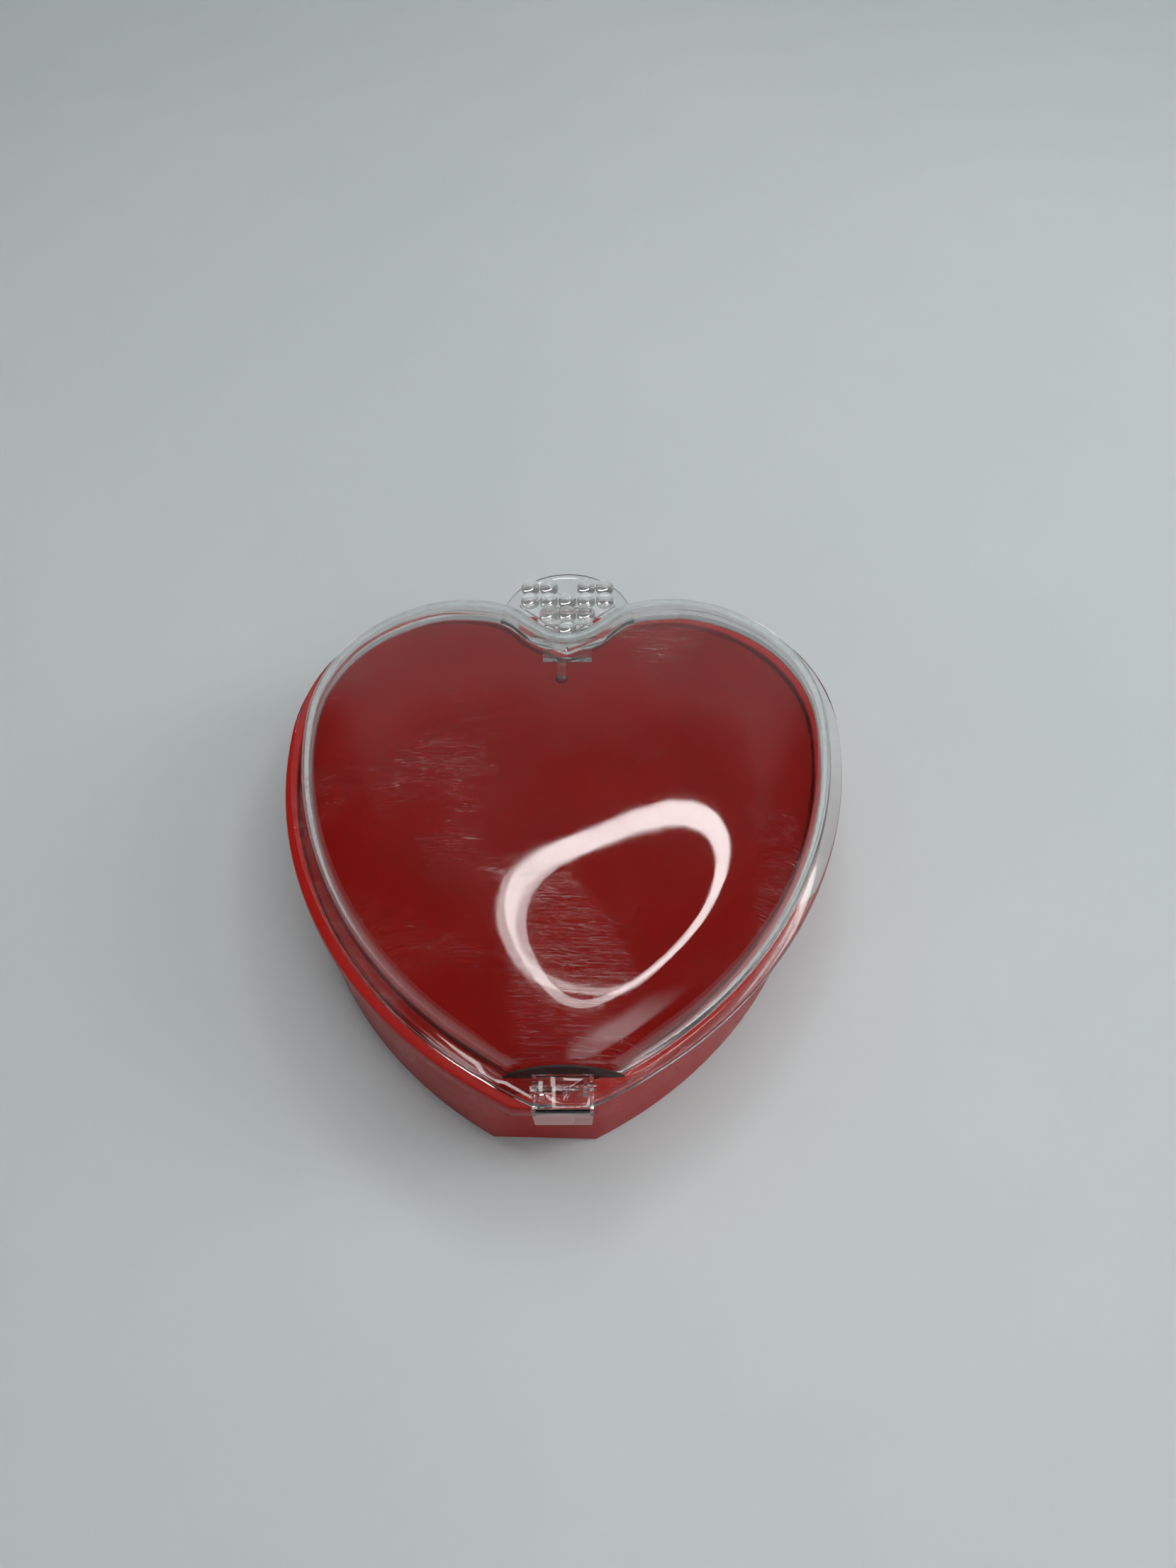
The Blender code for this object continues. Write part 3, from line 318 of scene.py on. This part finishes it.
def dome_rings(grow, rise, front):
    """Rings of a puffed heart, whose corners fade towards the crown."""
    rings = []
    for share in DOME_SHARES:
        height = (1 - share ** DOME_PLAN_POWER) ** (1 / DOME_HEIGHT_POWER)
        ring = lid_heart(grow, LIP_TOP + rise * height, front, share)
        rings.append(eased(ring, round(DOME_EASE * (1 - share))))
    return rings


def piece(name, mesh):
    made = bpy.data.objects.new(name, mesh)
    bpy.context.scene.collection.objects.link(made)
    return made


def shaped(name, base, steps):
    """Base mesh with boolean steps applied: (operation, mesh) pairs."""
    made = piece(name, base)
    tools = []
    for i, (operation, mesh) in enumerate(steps):
        tool = piece(f"{name}_tool_{i}", mesh)
        tools.append(tool)
        change = made.modifiers.new(f"step_{i}", "BOOLEAN")
        change.operation = operation
        change.solver = "EXACT"
        change.object = tool
    settle(made)
    for tool in tools:
        bpy.data.objects.remove(tool)
    return made


def settle(made):
    """Turns an object's modifiers into its mesh."""
    bpy.context.view_layer.update()
    result = made.evaluated_get(bpy.context.evaluated_depsgraph_get())
    made.data = bpy.data.meshes.new_from_object(result)
    made.modifiers.clear()


def soften(made, width, segments=2, angle=35):
    """Small rounded edges, as a mould leaves."""
    change = made.modifiers.new("rounded", "BEVEL")
    change.width = width
    change.segments = segments
    change.limit_method = "ANGLE"
    change.angle_limit = math.radians(angle)
    change.use_clamp_overlap = True
    settle(made)


def finish_piece(made, body, node, look, smooth_angle=32):
    """Gives a piece its look, and puts it on its body in place of its CAD node."""
    made.data.materials.clear()
    made.data.materials.append(look)
    made.data.shade_smooth()
    made.data.set_sharp_from_angle(angle=math.radians(smooth_angle))
    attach(made, body)
    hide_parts(node)


def twisted(made):
    """Puts a lid piece, made square to the body, at the lid's slight twist and sideways shift."""
    there = Matrix.Translation(HINGE + Vector((LID_SHIFT, 0, 0)))
    made.data.transform(there @ Matrix.Rotation(LID_TWIST, 4, "Z") @ Matrix.Translation(-HINGE))


# ---------------------------------------------------------------- materials

def link_nodes(tree, source, target):
    tree.links.new(source, target)


def add(tree, kind, inputs=None, **settings):
    """A node with its settings and its inputs, each a value or another node's output."""
    made = tree.nodes.new(kind)
    for key, value in settings.items():
        setattr(made, key, value)
    for key, value in (inputs or {}).items():
        if isinstance(value, bpy.types.NodeSocket):
            link_nodes(tree, value, made.inputs[key])
        else:
            made.inputs[key].default_value = value
    return made


def new_look(name):
    """A fresh material with its node tree, shader and output."""
    look = bpy.data.materials.new(name)
    look.use_nodes = True
    tree = look.node_tree
    return look, tree, tree.nodes["Principled BSDF"], tree.nodes["Material Output"]


def noise(tree, scale, detail=3.0, vector=None, roughness=0.5):
    where = vector or add(tree, "ShaderNodeTexCoord").outputs["Object"]
    return add(tree, "ShaderNodeTexNoise",
               {"Vector": where, "Scale": scale, "Detail": detail, "Roughness": roughness}).outputs["Fac"]


def stretch(tree, value, low, high, new_low, new_high):
    return add(tree, "ShaderNodeMapRange",
               {"Value": value, "From Min": low, "From Max": high, "To Min": new_low, "To Max": new_high}
               ).outputs["Result"]


def math_node(tree, operation, a, b=0.0):
    return add(tree, "ShaderNodeMath", {0: a, 1: b}, operation=operation).outputs[0]


def mix_colour(tree, share, a, b):
    made = add(tree, "ShaderNodeMix", {"Factor": share}, data_type="RGBA")
    for key, value in ((6, a), (7, b)):
        if isinstance(value, bpy.types.NodeSocket):
            link_nodes(tree, value, made.inputs[key])
        else:
            made.inputs[key].default_value = value
    return made.outputs[2]


def bump(tree, height, strength, distance):
    return add(tree, "ShaderNodeBump", {"Height": height, "Strength": strength, "Distance": distance}
               ).outputs["Normal"]


def hairlines(tree, turn, length, spacing, width, cover):
    """Fine scratches in one direction: contour lines of a drawn-out noise, in patches."""
    where = add(tree, "ShaderNodeTexCoord").outputs["Object"]
    drawn = add(tree, "ShaderNodeMapping",
                {"Vector": where, "Rotation": (0.0, 0.0, math.radians(turn)),
                 "Scale": (1 / length, 1 / spacing, 1 / length)}).outputs["Vector"]
    field = noise(tree, 1.0, 1.0, drawn)
    off = math_node(tree, "ABSOLUTE", math_node(tree, "SUBTRACT", field, 0.5))
    line = stretch(tree, off, 0.0, width, 1.0, 0.0)
    patch = stretch(tree, noise(tree, 45.0 + turn / 9, 2.0), cover, cover + 0.06, 0.0, 1.0)
    return math_node(tree, "MULTIPLY", line, patch)


def specks(tree, scale, size, share):
    """Small chips scattered over a surface."""
    where = add(tree, "ShaderNodeTexCoord").outputs["Object"]
    cells = add(tree, "ShaderNodeTexVoronoi", {"Vector": where, "Scale": scale})
    near = stretch(tree, cells.outputs["Distance"], size * 0.6, size, 1.0, 0.0)
    pick = add(tree, "ShaderNodeSeparateColor", {"Color": cells.outputs["Color"]}).outputs[0]
    chosen = math_node(tree, "LESS_THAN", pick, share)
    return math_node(tree, "MULTIPLY", near, chosen)


def red_plastic(name, roughness, tone, shine, wear):
    """Moulded red plastic: even colour with faint flow marks, an orange-peel skin and rubbed spots."""
    look, tree, shader, _ = new_look(name)
    flow = noise(tree, 60.0, 4.0)
    deep = tuple(0.93 * c for c in tone) + (1.0,)
    full = tuple(1.05 * c for c in tone) + (1.0,)
    base = mix_colour(tree, stretch(tree, flow, 0.35, 0.65, 0.0, 1.0), deep, full)
    rubbed = hairlines(tree, 25, 9 * MM, 0.5 * MM, 0.008, 0.60)
    colour = mix_colour(tree, math_node(tree, "MULTIPLY", rubbed, wear), base, (0.42, 0.06, 0.05, 1))
    link_nodes(tree, colour, shader.inputs["Base Color"])
    smear = stretch(tree, noise(tree, 140.0, 3.0), 0.3, 0.7, roughness - 0.05, roughness + 0.07)
    link_nodes(tree, math_node(tree, "ADD", smear, math_node(tree, "MULTIPLY", rubbed, 0.15)),
               shader.inputs["Roughness"])
    skin = math_node(tree, "ADD", noise(tree, 900.0, 2.0),
                     math_node(tree, "MULTIPLY", noise(tree, 4200.0, 2.0), 0.3))
    link_nodes(tree, bump(tree, skin, 0.12, 0.00006), shader.inputs["Normal"])
    shader.inputs["IOR"].default_value = 1.5
    shader.inputs["Specular IOR Level"].default_value = shine
    return look


def clear_plastic(name, wear, haze):
    """Clear plastic: bends light, with hairline scratches, chips and a thin haze; lamps reach through it."""
    look, tree, shader, output = new_look(name)
    marks = hairlines(tree, 38, 13 * MM, 0.42 * MM, 0.006, 0.52)
    for turn, length, spacing in ((-22, 6, 0.5), (74, 8, 0.6), (12, 18, 0.9)):
        more = hairlines(tree, turn, length * MM, spacing * MM, 0.005, 0.54)
        marks = math_node(tree, "MAXIMUM", marks, more)
    chips = specks(tree, 90.0, 0.028, 0.16)
    marks = math_node(tree, "MULTIPLY", marks, 0.34 * wear)
    marks = math_node(tree, "MAXIMUM", marks, math_node(tree, "MULTIPLY", chips, 0.55 * wear))
    film = stretch(tree, noise(tree, 55.0, 4.0), 0.35, 0.75, 0.4 * haze, haze)
    veil = math_node(tree, "ADD", marks, film)
    link_nodes(tree, math_node(tree, "SUBTRACT", 1.0, veil), shader.inputs["Transmission Weight"])
    grain = stretch(tree, noise(tree, 260.0, 3.0), 0.3, 0.7, 0.02, 0.05)
    link_nodes(tree, math_node(tree, "ADD", grain, math_node(tree, "MULTIPLY", marks, 0.8)),
               shader.inputs["Roughness"])
    link_nodes(tree, mix_colour(tree, marks, (0.965, 0.975, 0.97, 1), (0.86, 0.84, 0.83, 1)),
               shader.inputs["Base Color"])
    skin = math_node(tree, "ADD", noise(tree, 130.0, 2.0), math_node(tree, "MULTIPLY", marks, -0.5))
    link_nodes(tree, bump(tree, skin, 0.06 + 0.04 * wear, 0.00012), shader.inputs["Normal"])
    shader.inputs["IOR"].default_value = 1.49
    open_way = add(tree, "ShaderNodeBsdfTransparent", {"Color": (0.93, 0.94, 0.94, 1)})
    path = add(tree, "ShaderNodeLightPath")
    both = add(tree, "ShaderNodeMixShader", {0: path.outputs["Is Shadow Ray"], 1: shader.outputs[0],
                                             2: open_way.outputs[0]})
    link_nodes(tree, both.outputs[0], output.inputs["Surface"])
    return look


def black_rubber():
    """A near-black strip with a fine dusty grain: painted shade, standing for the dark gap under the front of the
    dome.
    """
    look, tree, shader, _ = new_look("painted_shade_strip_look")
    dust = stretch(tree, noise(tree, 700.0, 5.0), 0.45, 0.8, 0.0, 1.0)
    link_nodes(tree, mix_colour(tree, dust, (0.022, 0.009, 0.007, 1), (0.055, 0.026, 0.021, 1)),
               shader.inputs["Base Color"])
    link_nodes(tree, stretch(tree, dust, 0.0, 1.0, 0.45, 0.75), shader.inputs["Roughness"])
    link_nodes(tree, bump(tree, noise(tree, 2500.0, 3.0), 0.3, 0.00005), shader.inputs["Normal"])
    return look


def metal(name, colour, dull, roughness, grain, coarse):
    """Machined or cast metal: drawn-out tool marks or a sandy skin, with duller patches."""
    look, tree, shader, _ = new_look(name)
    where = add(tree, "ShaderNodeTexCoord").outputs["Object"]
    drawn = add(tree, "ShaderNodeMapping", {"Vector": where, "Scale": grain}).outputs["Vector"]
    lines = noise(tree, 1.0, 4.0, drawn)
    patches = stretch(tree, noise(tree, 220.0, 4.0), 0.4, 0.7, 0.0, 1.0)
    link_nodes(tree, mix_colour(tree, patches, colour, dull), shader.inputs["Base Color"])
    spread = math_node(tree, "ADD", stretch(tree, lines, 0.3, 0.7, roughness - 0.08, roughness + 0.08),
                       math_node(tree, "MULTIPLY", patches, 0.12))
    link_nodes(tree, spread, shader.inputs["Roughness"])
    link_nodes(tree, bump(tree, lines, coarse, 0.00004), shader.inputs["Normal"])
    shader.inputs["Metallic"].default_value = 1.0
    return look


def table_top():
    """Pale, slightly cloudy matt surface."""
    look, tree, shader, _ = new_look("table_top_look")
    cloud = stretch(tree, noise(tree, 5.0, 4.0), 0.3, 0.7, 0.0, 1.0)
    link_nodes(tree, mix_colour(tree, cloud, (0.60, 0.645, 0.655, 1), (0.66, 0.70, 0.705, 1)),
               shader.inputs["Base Color"])
    link_nodes(tree, stretch(tree, noise(tree, 60.0, 3.0), 0.3, 0.7, 0.42, 0.55), shader.inputs["Roughness"])
    link_nodes(tree, bump(tree, noise(tree, 1800.0, 3.0), 0.08, 0.00008), shader.inputs["Normal"])
    return look


RED = red_plastic("red_shell_look", roughness=0.30, tone=(0.41, 0.011, 0.008), shine=0.15, wear=0.14)
# The deck's red is the shell's plastic made darker and duller: painted shade for the parts under the dome.
RED_UNDER_DOME_SHADED = red_plastic("red_deck_painted_shade_look", roughness=0.38, tone=(0.225, 0.0028, 0.0012), shine=0.03, wear=0.05)
CLEAR_DOME = clear_plastic("clear_dome_look", wear=0.40, haze=0.003)
CLEAR_BEADS = clear_plastic("clear_bead_look", wear=0.1, haze=0.13)
CLEAR_TRIM = clear_plastic("clear_trim_look", wear=0.12, haze=0.003)
STEEL = metal("steel_look", colour=(0.60, 0.60, 0.59, 1), dull=(0.42, 0.41, 0.40, 1), roughness=0.26,
              grain=(3000.0, 220.0, 3000.0), coarse=0.12)
BRASS = metal("brass_look", colour=(0.80, 0.56, 0.22, 1), dull=(0.55, 0.38, 0.16, 1), roughness=0.28,
              grain=(2600.0, 300.0, 2600.0), coarse=0.12)
ZINC = metal("zinc_look", colour=(0.50, 0.51, 0.52, 1), dull=(0.36, 0.365, 0.37, 1), roughness=0.46,
             grain=(2400.0, 2400.0, 2400.0), coarse=0.35)
# The black_rubber slot gets the near-black strip: painted shade for the gap under the front of the dome.
LOOKS = {"red_plastic": RED, "clear_plastic": CLEAR_TRIM, "black_rubber": black_rubber(), "steel": STEEL,
         "brass": BRASS, "zinc": ZINC}

INNER_RED = ("deck_plate", "stop_pin")  # seen through the dome, so given the darker copy of the red: painted shade

for part in frame["record"]["subparts"]:
    shown = frame["nodes"][part["node"]]
    shown.data.materials.clear()
    shown.data.materials.append(RED_UNDER_DOME_SHADED if part["node"] in INNER_RED else LOOKS[part["material_slot"]])


# ---------------------------------------------------------------- red body

def ear_mesh(side):
    """A hinge ear, rooted in the body wall beside the cleft and rounded about the hinge axis."""
    sections = []
    for x in sorted((side * EAR_INNER_X, side * EAR_OUTER_X)):
        root = EAR_ROOT_Y + (abs(x) - EAR_INNER_X) * EAR_ROOT_SLOPE
        section = [Vector((x, root, HINGE.z - EAR_RADIUS)), Vector((x, root, HINGE.z + EAR_RADIUS))]
        for i in range(EAR_STEPS + 1):
            angle = math.pi / 2 - math.pi * i / EAR_STEPS
            section.append(Vector((x, HINGE.y + EAR_RADIUS * math.cos(angle),
                                   HINGE.z + EAR_RADIUS * math.sin(angle))))
        sections.append(section)
    return mesh_from(sections)


def shell():
    """The body: a wall turned round the heart's outline as (grow, z, front) steps, ears and pin bore."""
    profile = [
        (WALL_OUTER - WALL_DRAFT - 0.25 * MM, 0, FACET_FRONT_Y),
        (WALL_OUTER - WALL_DRAFT, 0.3 * MM, FACET_FRONT_Y),
        (WALL_OUTER - WALL_DRAFT / 2, FLANGE_BOTTOM / 2, FACET_FRONT_Y),
        (WALL_OUTER, FLANGE_BOTTOM, FACET_FRONT_Y),
        (-0.3 * MM, FLANGE_BOTTOM, TIP.y),
        (-0.09 * MM, FLANGE_BOTTOM + 0.09 * MM, TIP.y),
        (0, FLANGE_BOTTOM + 0.3 * MM, TIP.y),
        (0, BODY_HEIGHT - 0.35 * MM, TIP.y),
        (-0.1 * MM, BODY_HEIGHT - 0.1 * MM, TIP.y),
        (-0.35 * MM, BODY_HEIGHT, TIP.y),
        (DECK_SEAT_EDGE + 0.15 * MM, BODY_HEIGHT, TIP.y),
        (DECK_SEAT_EDGE, BODY_HEIGHT - 0.15 * MM, TIP.y),
        (DECK_SEAT_EDGE, DECK_SEAT_Z, TIP.y),
        (DECK_SEAT_INNER, DECK_SEAT_Z, FACET_FRONT_Y),
        (DECK_SEAT_INNER, DECK_SEAT_Z - 1.8 * MM, FACET_FRONT_Y),
        (WALL_INNER, DECK_SEAT_Z - 3.1 * MM, FACET_FRONT_Y),
        (WALL_INNER - WALL_DRAFT, 0, FACET_FRONT_Y),
    ]
    walls = mesh_from([heart(grow, z, front) for grow, z, front in profile], True)
    bore = drill(BORE_RADIUS, BORE_HALF_LENGTH, HINGE.y, HINGE.z)
    made = shaped("heart_shell", walls,
                  [("UNION", ear_mesh(-1)), ("UNION", ear_mesh(1)), ("DIFFERENCE", bore)])
    finish_piece(made, "base", "body_shell", RED)


# ---------------------------------------------------------------- clear lid

def dome():
    """The clear lid in one moulding: lip, puffed dome, rear tab, knuckle, cleft pad and the latch's lugs."""
    outer = [lid_heart(-0.12 * MM, LID_BOTTOM), lid_heart(0, LID_BOTTOM + 0.12 * MM),
             lid_heart(0, LIP_TOP - LIP_EDGE), lid_heart(-0.3 * LIP_EDGE, LIP_TOP - 0.3 * LIP_EDGE),
             lid_heart(-LIP_EDGE, LIP_TOP), lid_heart(-LIP_WIDTH, LIP_TOP)]
    outer += dome_rings(-LIP_WIDTH, DOME_RISE, TIP.y)
    inside = -LIP_WIDTH - LID_WALL
    hollow = [lid_heart(inside, LID_BOTTOM - 2 * MM, DOME_INNER_FRONT_Y),
              lid_heart(inside, LIP_TOP, DOME_INNER_FRONT_Y)]
    hollow += dome_rings(inside, DOME_RISE - LID_WALL, DOME_INNER_FRONT_Y)
    tab = turned([(TAB_RADIUS - 0.3 * MM, LID_BOTTOM + 0.15 * MM), (TAB_RADIUS, LID_BOTTOM + 0.4 * MM),
                  (TAB_RADIUS, TAB_TOP - 0.2 * MM), (TAB_RADIUS - 0.25 * MM, TAB_TOP)],
                 (0, TAB_CENTRE_Y), 96)
    half = KNUCKLE_HALF_WIDTH
    knuckle = along_x(turned([(KNUCKLE_RADIUS, -half), (KNUCKLE_RADIUS, half)], steps=48), HINGE.y, HINGE.z)
    neck = box_mesh((-half + 0.1 * MM, HINGE.y - 1.5 * MM, HINGE.z),
                    (half - 0.1 * MM, HINGE.y + 1.5 * MM, LID_BOTTOM + 0.6 * MM))
    bore = drill(BORE_RADIUS + 0.1 * MM, BORE_HALF_LENGTH, HINGE.y, HINGE.z)
    pad = box_mesh((-PAD_HALF_WIDTH, PAD_FRONT_Y, LID_BOTTOM),
                   (PAD_HALF_WIDTH, PAD_BACK_Y, LIP_TOP - 0.15 * MM))
    tongue = box_mesh((TONGUE_X - TONGUE_HALF_WIDTH, TONGUE_FRONT_Y, LID_BOTTOM + 0.05 * MM),
                      (TONGUE_X + TONGUE_HALF_WIDTH, TONGUE_BACK_Y, LIP_TOP - 0.5 * MM))
    front_cut = box_mesh((-20 * MM, -60 * MM, LIP_TOP), (20 * MM, DOME_CUT_Y, 40 * MM))
    steps = [("UNION", tab), ("DIFFERENCE", mesh_from(hollow)), ("UNION", knuckle), ("UNION", neck),
             ("DIFFERENCE", bore), ("UNION", pad), ("UNION", tongue), ("DIFFERENCE", front_cut)]
    for side in (-1, 1):
        low, high = sorted((side * LUG_INNER_X, side * LUG_OUTER_X))
        steps.append(("UNION", box_mesh((low, LATCH_PIVOT_Y - LUG_HALF_LENGTH, LIP_TOP - 0.5 * MM),
                                        (high, LATCH_PIVOT_Y + LUG_HALF_LENGTH, LUG_TOP))))
    lug_bore = drill(LUG_BORE_RADIUS, LATCH_BORE_HALF_LENGTH, LATCH_PIVOT_Y, LATCH_PIVOT.z)
    steps.append(("DIFFERENCE", lug_bore))
    made = shaped("clear_dome", mesh_from(outer), steps)
    twisted(made)
    finish_piece(made, "lid", "lid_dome", CLEAR_DOME)


def beads():
    """The beads, joined by a thin heart-shaped backing and cut flat underneath."""
    low = TAB_TOP + GAP
    half = [(x * BEAD_PITCH, BEAD_FRONT_Y + y * MM) for x, y in BACKING_HALF]
    ring = half + [BACKING_NOTCH] + [(-x, y) for x, y in reversed(half)]
    backing = mesh_from([[Vector((x, y, z)) for x, y in ring] for z in (low, low + BACKING_THICKNESS)])
    steps = []
    for row, places in enumerate(BEAD_ROWS):
        for place in places:
            bead = bmesh.new()
            spot = Matrix.Translation((place * BEAD_PITCH, BEAD_FRONT_Y + row * BEAD_PITCH, BEAD_Z))
            bmesh.ops.create_icosphere(bead, subdivisions=4, radius=BEAD_RADIUS, matrix=spot)
            mesh = bpy.data.meshes.new("bead")
            bead.to_mesh(mesh)
            bead.free()
            steps.append(("UNION", mesh))
    floor = box_mesh((-20 * MM, 20 * MM, low - 5 * MM), (20 * MM, 60 * MM, low + 0.02 * MM))
    made = shaped("bead_heart", backing, steps + [("DIFFERENCE", floor)])
    twisted(made)
    finish_piece(made, "lid", "bead_cluster", CLEAR_BEADS)


def latch_section(x):
    """Section of the latch at a width: a flat top, a rounded bend and a lip that hangs in front."""
    under = LATCH_TOP - LATCH_PLATE
    back, front, foot = LATCH_BACK_Y, LATCH_FRONT_Y, LATCH_FOOT
    inner = front + LATCH_PLATE
    points = [(back, under), (back, LATCH_TOP), (front + LATCH_BEND, LATCH_TOP)]
    for i in range(1, LATCH_BEND_STEPS):
        angle = math.pi / 2 * i / LATCH_BEND_STEPS
        points.append((front + LATCH_BEND * (1 - math.sin(angle)),
                       LATCH_TOP - LATCH_BEND * (1 - math.cos(angle))))
    points += [(front, LATCH_TOP - LATCH_BEND), (front, foot + 0.5 * MM), (front + 0.15 * MM, foot),
               (inner, foot), (inner, under)]
    narrow_below = foot + LATCH_FOOT_HEIGHT
    return [Vector((x * (LATCH_FOOT_NARROWING if z < narrow_below else 1.0), y, z)) for y, z in points]


def gate_mark():
    """The low oval ring that the moulding gate leaves on the latch's top."""
    low, high = LATCH_TOP - 0.1 * MM, LATCH_TOP + 0.12 * MM
    profile = [(0.62 * MM, low), (0.55 * MM, high), (0.32 * MM, high), (0.25 * MM, low)]
    mark = turned(profile, (0, 0), 32, True)
    oval = Matrix.Diagonal((GATE_NARROWING, 1.0, 1.0, 1.0))
    mark.transform(Matrix.Translation((GATE_X, GATE_Y, 0)) @ oval)
    return mark


def latch():
    """The clear latch: its bent plate, two side walls, the pin's bore and the gate mark."""
    outer = LATCH_HALF_WIDTH - LATCH_WALL_INSET
    steps = []
    for side in (-1, 1):
        low, high = sorted((side * (LATCH_HALF_WIDTH - LATCH_WALL), side * outer))
        steps.append(("UNION", box_mesh((low, LATCH_FRONT_Y + 0.3 * MM, LATCH_WALL_BOTTOM),
                                        (high, LATCH_BACK_Y - 0.1 * MM, LATCH_TOP - 0.2 * MM))))
    bore = drill(LATCH_BORE_RADIUS, LATCH_BORE_HALF_LENGTH, LATCH_PIVOT_Y, LATCH_PIVOT.z)
    steps += [("DIFFERENCE", bore), ("UNION", gate_mark())]
    plate = mesh_from([latch_section(x) for x in (-LATCH_HALF_WIDTH, 0, LATCH_HALF_WIDTH)])
    made = shaped("clear_latch", plate, steps)
    soften(made, 0.07 * MM)
    twisted(made)
    finish_piece(made, "latch", "latch_clasp", CLEAR_TRIM, 22)


# ---------------------------------------------------------------- table, lamps and camera

def table():
    """The plain top that the box stands on."""
    made = piece("table_top", box_mesh((-TABLE_HALF, -TABLE_HALF, -TABLE_THICKNESS),
                                       (TABLE_HALF, TABLE_HALF, 0.0)))
    made.data.materials.append(table_top())


def ring_lamp():
    """A ring-shaped lamp overhead, which the dome mirrors as a closed loop."""
    top = LAMP_Z + LAMP_THICKNESS
    profile = [(LAMP_OUTER, LAMP_Z), (LAMP_OUTER, top), (LAMP_INNER, top), (LAMP_INNER, LAMP_Z)]
    made = piece("ring_lamp", turned(profile, LAMP_CENTRE, 96, True))
    look = bpy.data.materials.new("lamp_look")
    look.use_nodes = True
    tree = look.node_tree
    glow = stretch(tree, noise(tree, 3.0, 2.0), 0.3, 0.7, 0.9 * LAMP_GLOW, 1.1 * LAMP_GLOW)
    light = add(tree, "ShaderNodeEmission", {"Color": (1.0, 0.985, 0.97, 1), "Strength": glow})
    link_nodes(tree, light.outputs[0], tree.nodes["Material Output"].inputs["Surface"])
    made.data.materials.append(look)


def fill_lamp():
    """A soft lamp beside the table that lights its right side more than its left."""
    lamp = bpy.data.lights.new("fill", "AREA")
    lamp.shape = "DISK"
    lamp.size = FILL_SIZE
    lamp.energy = FILL_POWER
    lamp.color = (0.97, 1.0, 1.0)
    made = bpy.data.objects.new("fill", lamp)
    bpy.context.scene.collection.objects.link(made)
    made.location = FILL_PLACE
    made.rotation_euler = (-made.location).to_track_quat("-Z", "Y").to_euler()
    made.visible_glossy = False
    made.visible_transmission = False


def falls(tree, value, fade):
    """One before the fade, nought after it, with a smooth run between."""
    return add(tree, "ShaderNodeMapRange",
               {"Value": value, "From Min": fade[0], "From Max": fade[1], "To Min": 1.0, "To Max": 0.0},
               interpolation_type="SMOOTHSTEP").outputs["Result"]


def rises(tree, value, fade):
    return math_node(tree, "SUBTRACT", 1.0, falls(tree, value, fade))


def room():
    """Even soft light for matt surfaces and the camera; glossy ones see a pale wall in a dim room."""
    world = bpy.data.worlds.new("room")
    world.use_nodes = True
    tree = world.node_tree
    way = add(tree, "ShaderNodeTexCoord").outputs["Generated"]
    parts = add(tree, "ShaderNodeSeparateXYZ", {"Vector": way}).outputs
    height = parts[2]
    squared = math_node(tree, "POWER", height, 2.0)
    flat = math_node(tree, "SQRT", math_node(tree, "SUBTRACT", 1.0001, squared))
    ahead = math_node(tree, "DIVIDE", parts[1], flat)
    wall = math_node(tree, "MULTIPLY", rises(tree, ahead, WALL_SIDES), falls(tree, height, WALL_TOP))
    upper = math_node(tree, "MULTIPLY", rises(tree, ahead, UPPER_SIDES), falls(tree, height, UPPER_TOP))
    band = math_node(tree, "MULTIPLY", rises(tree, height, STREAK_BOTTOM), falls(tree, height, STREAK_TOP))
    streak = math_node(tree, "MULTIPLY", falls(tree, ahead, STREAK_SIDES), band)
    side = rises(tree, parts[0], STREAK_EDGE)
    glow = math_node(tree, "ADD", math_node(tree, "MULTIPLY", wall, WALL_GLOW),
                     math_node(tree, "MULTIPLY", upper, UPPER_GLOW))
    glow = math_node(tree, "ADD", glow,
                     math_node(tree, "MULTIPLY", math_node(tree, "MULTIPLY", streak, side), STREAK_GLOW))
    mirrored = math_node(tree, "ADD", glow, DIM_GLOW)
    path = add(tree, "ShaderNodeLightPath")
    plain = math_node(tree, "MAXIMUM", path.outputs["Is Diffuse Ray"], path.outputs["Is Camera Ray"])
    strength = add(tree, "ShaderNodeMix", {"Factor": plain, 2: mirrored, 3: SOFT_GLOW},
                   data_type="FLOAT").outputs[0]
    shade = tree.nodes["Background"]
    shade.inputs["Color"].default_value = (0.84, 0.90, 0.92, 1)
    link_nodes(tree, strength, shade.inputs["Strength"])
    bpy.context.scene.world = world
    bpy.context.scene.view_settings.view_transform = "Standard"


def camera():
    """A camera above and in front of the box, turned by yaw, then tipped down by pitch and rolled."""
    level_reach = math.cos(CAMERA_PITCH)
    ahead = Vector((math.sin(CAMERA_YAW) * level_reach, math.cos(CAMERA_YAW) * level_reach,
                    -math.sin(CAMERA_PITCH)))
    level = Vector((math.cos(CAMERA_YAW), -math.sin(CAMERA_YAW), 0))
    upright = level.cross(ahead)
    across = math.cos(CAMERA_ROLL) * level + math.sin(CAMERA_ROLL) * upright
    upwards = -math.sin(CAMERA_ROLL) * level + math.cos(CAMERA_ROLL) * upright
    data = bpy.data.cameras.new("camera")
    data.lens = CAMERA_LENS
    data.sensor_width = CAMERA_SENSOR
    data.clip_start = 0.01
    made = bpy.data.objects.new("camera", data)
    bpy.context.scene.collection.objects.link(made)
    turn = Matrix((across, upwards, -ahead)).transposed().to_4x4()
    made.matrix_world = Matrix.Translation(CAMERA_PLACE) @ turn
    bpy.context.scene.camera = made


shell()
dome()
beads()
latch()
table()
ring_lamp()
fill_lamp()
room()
camera()
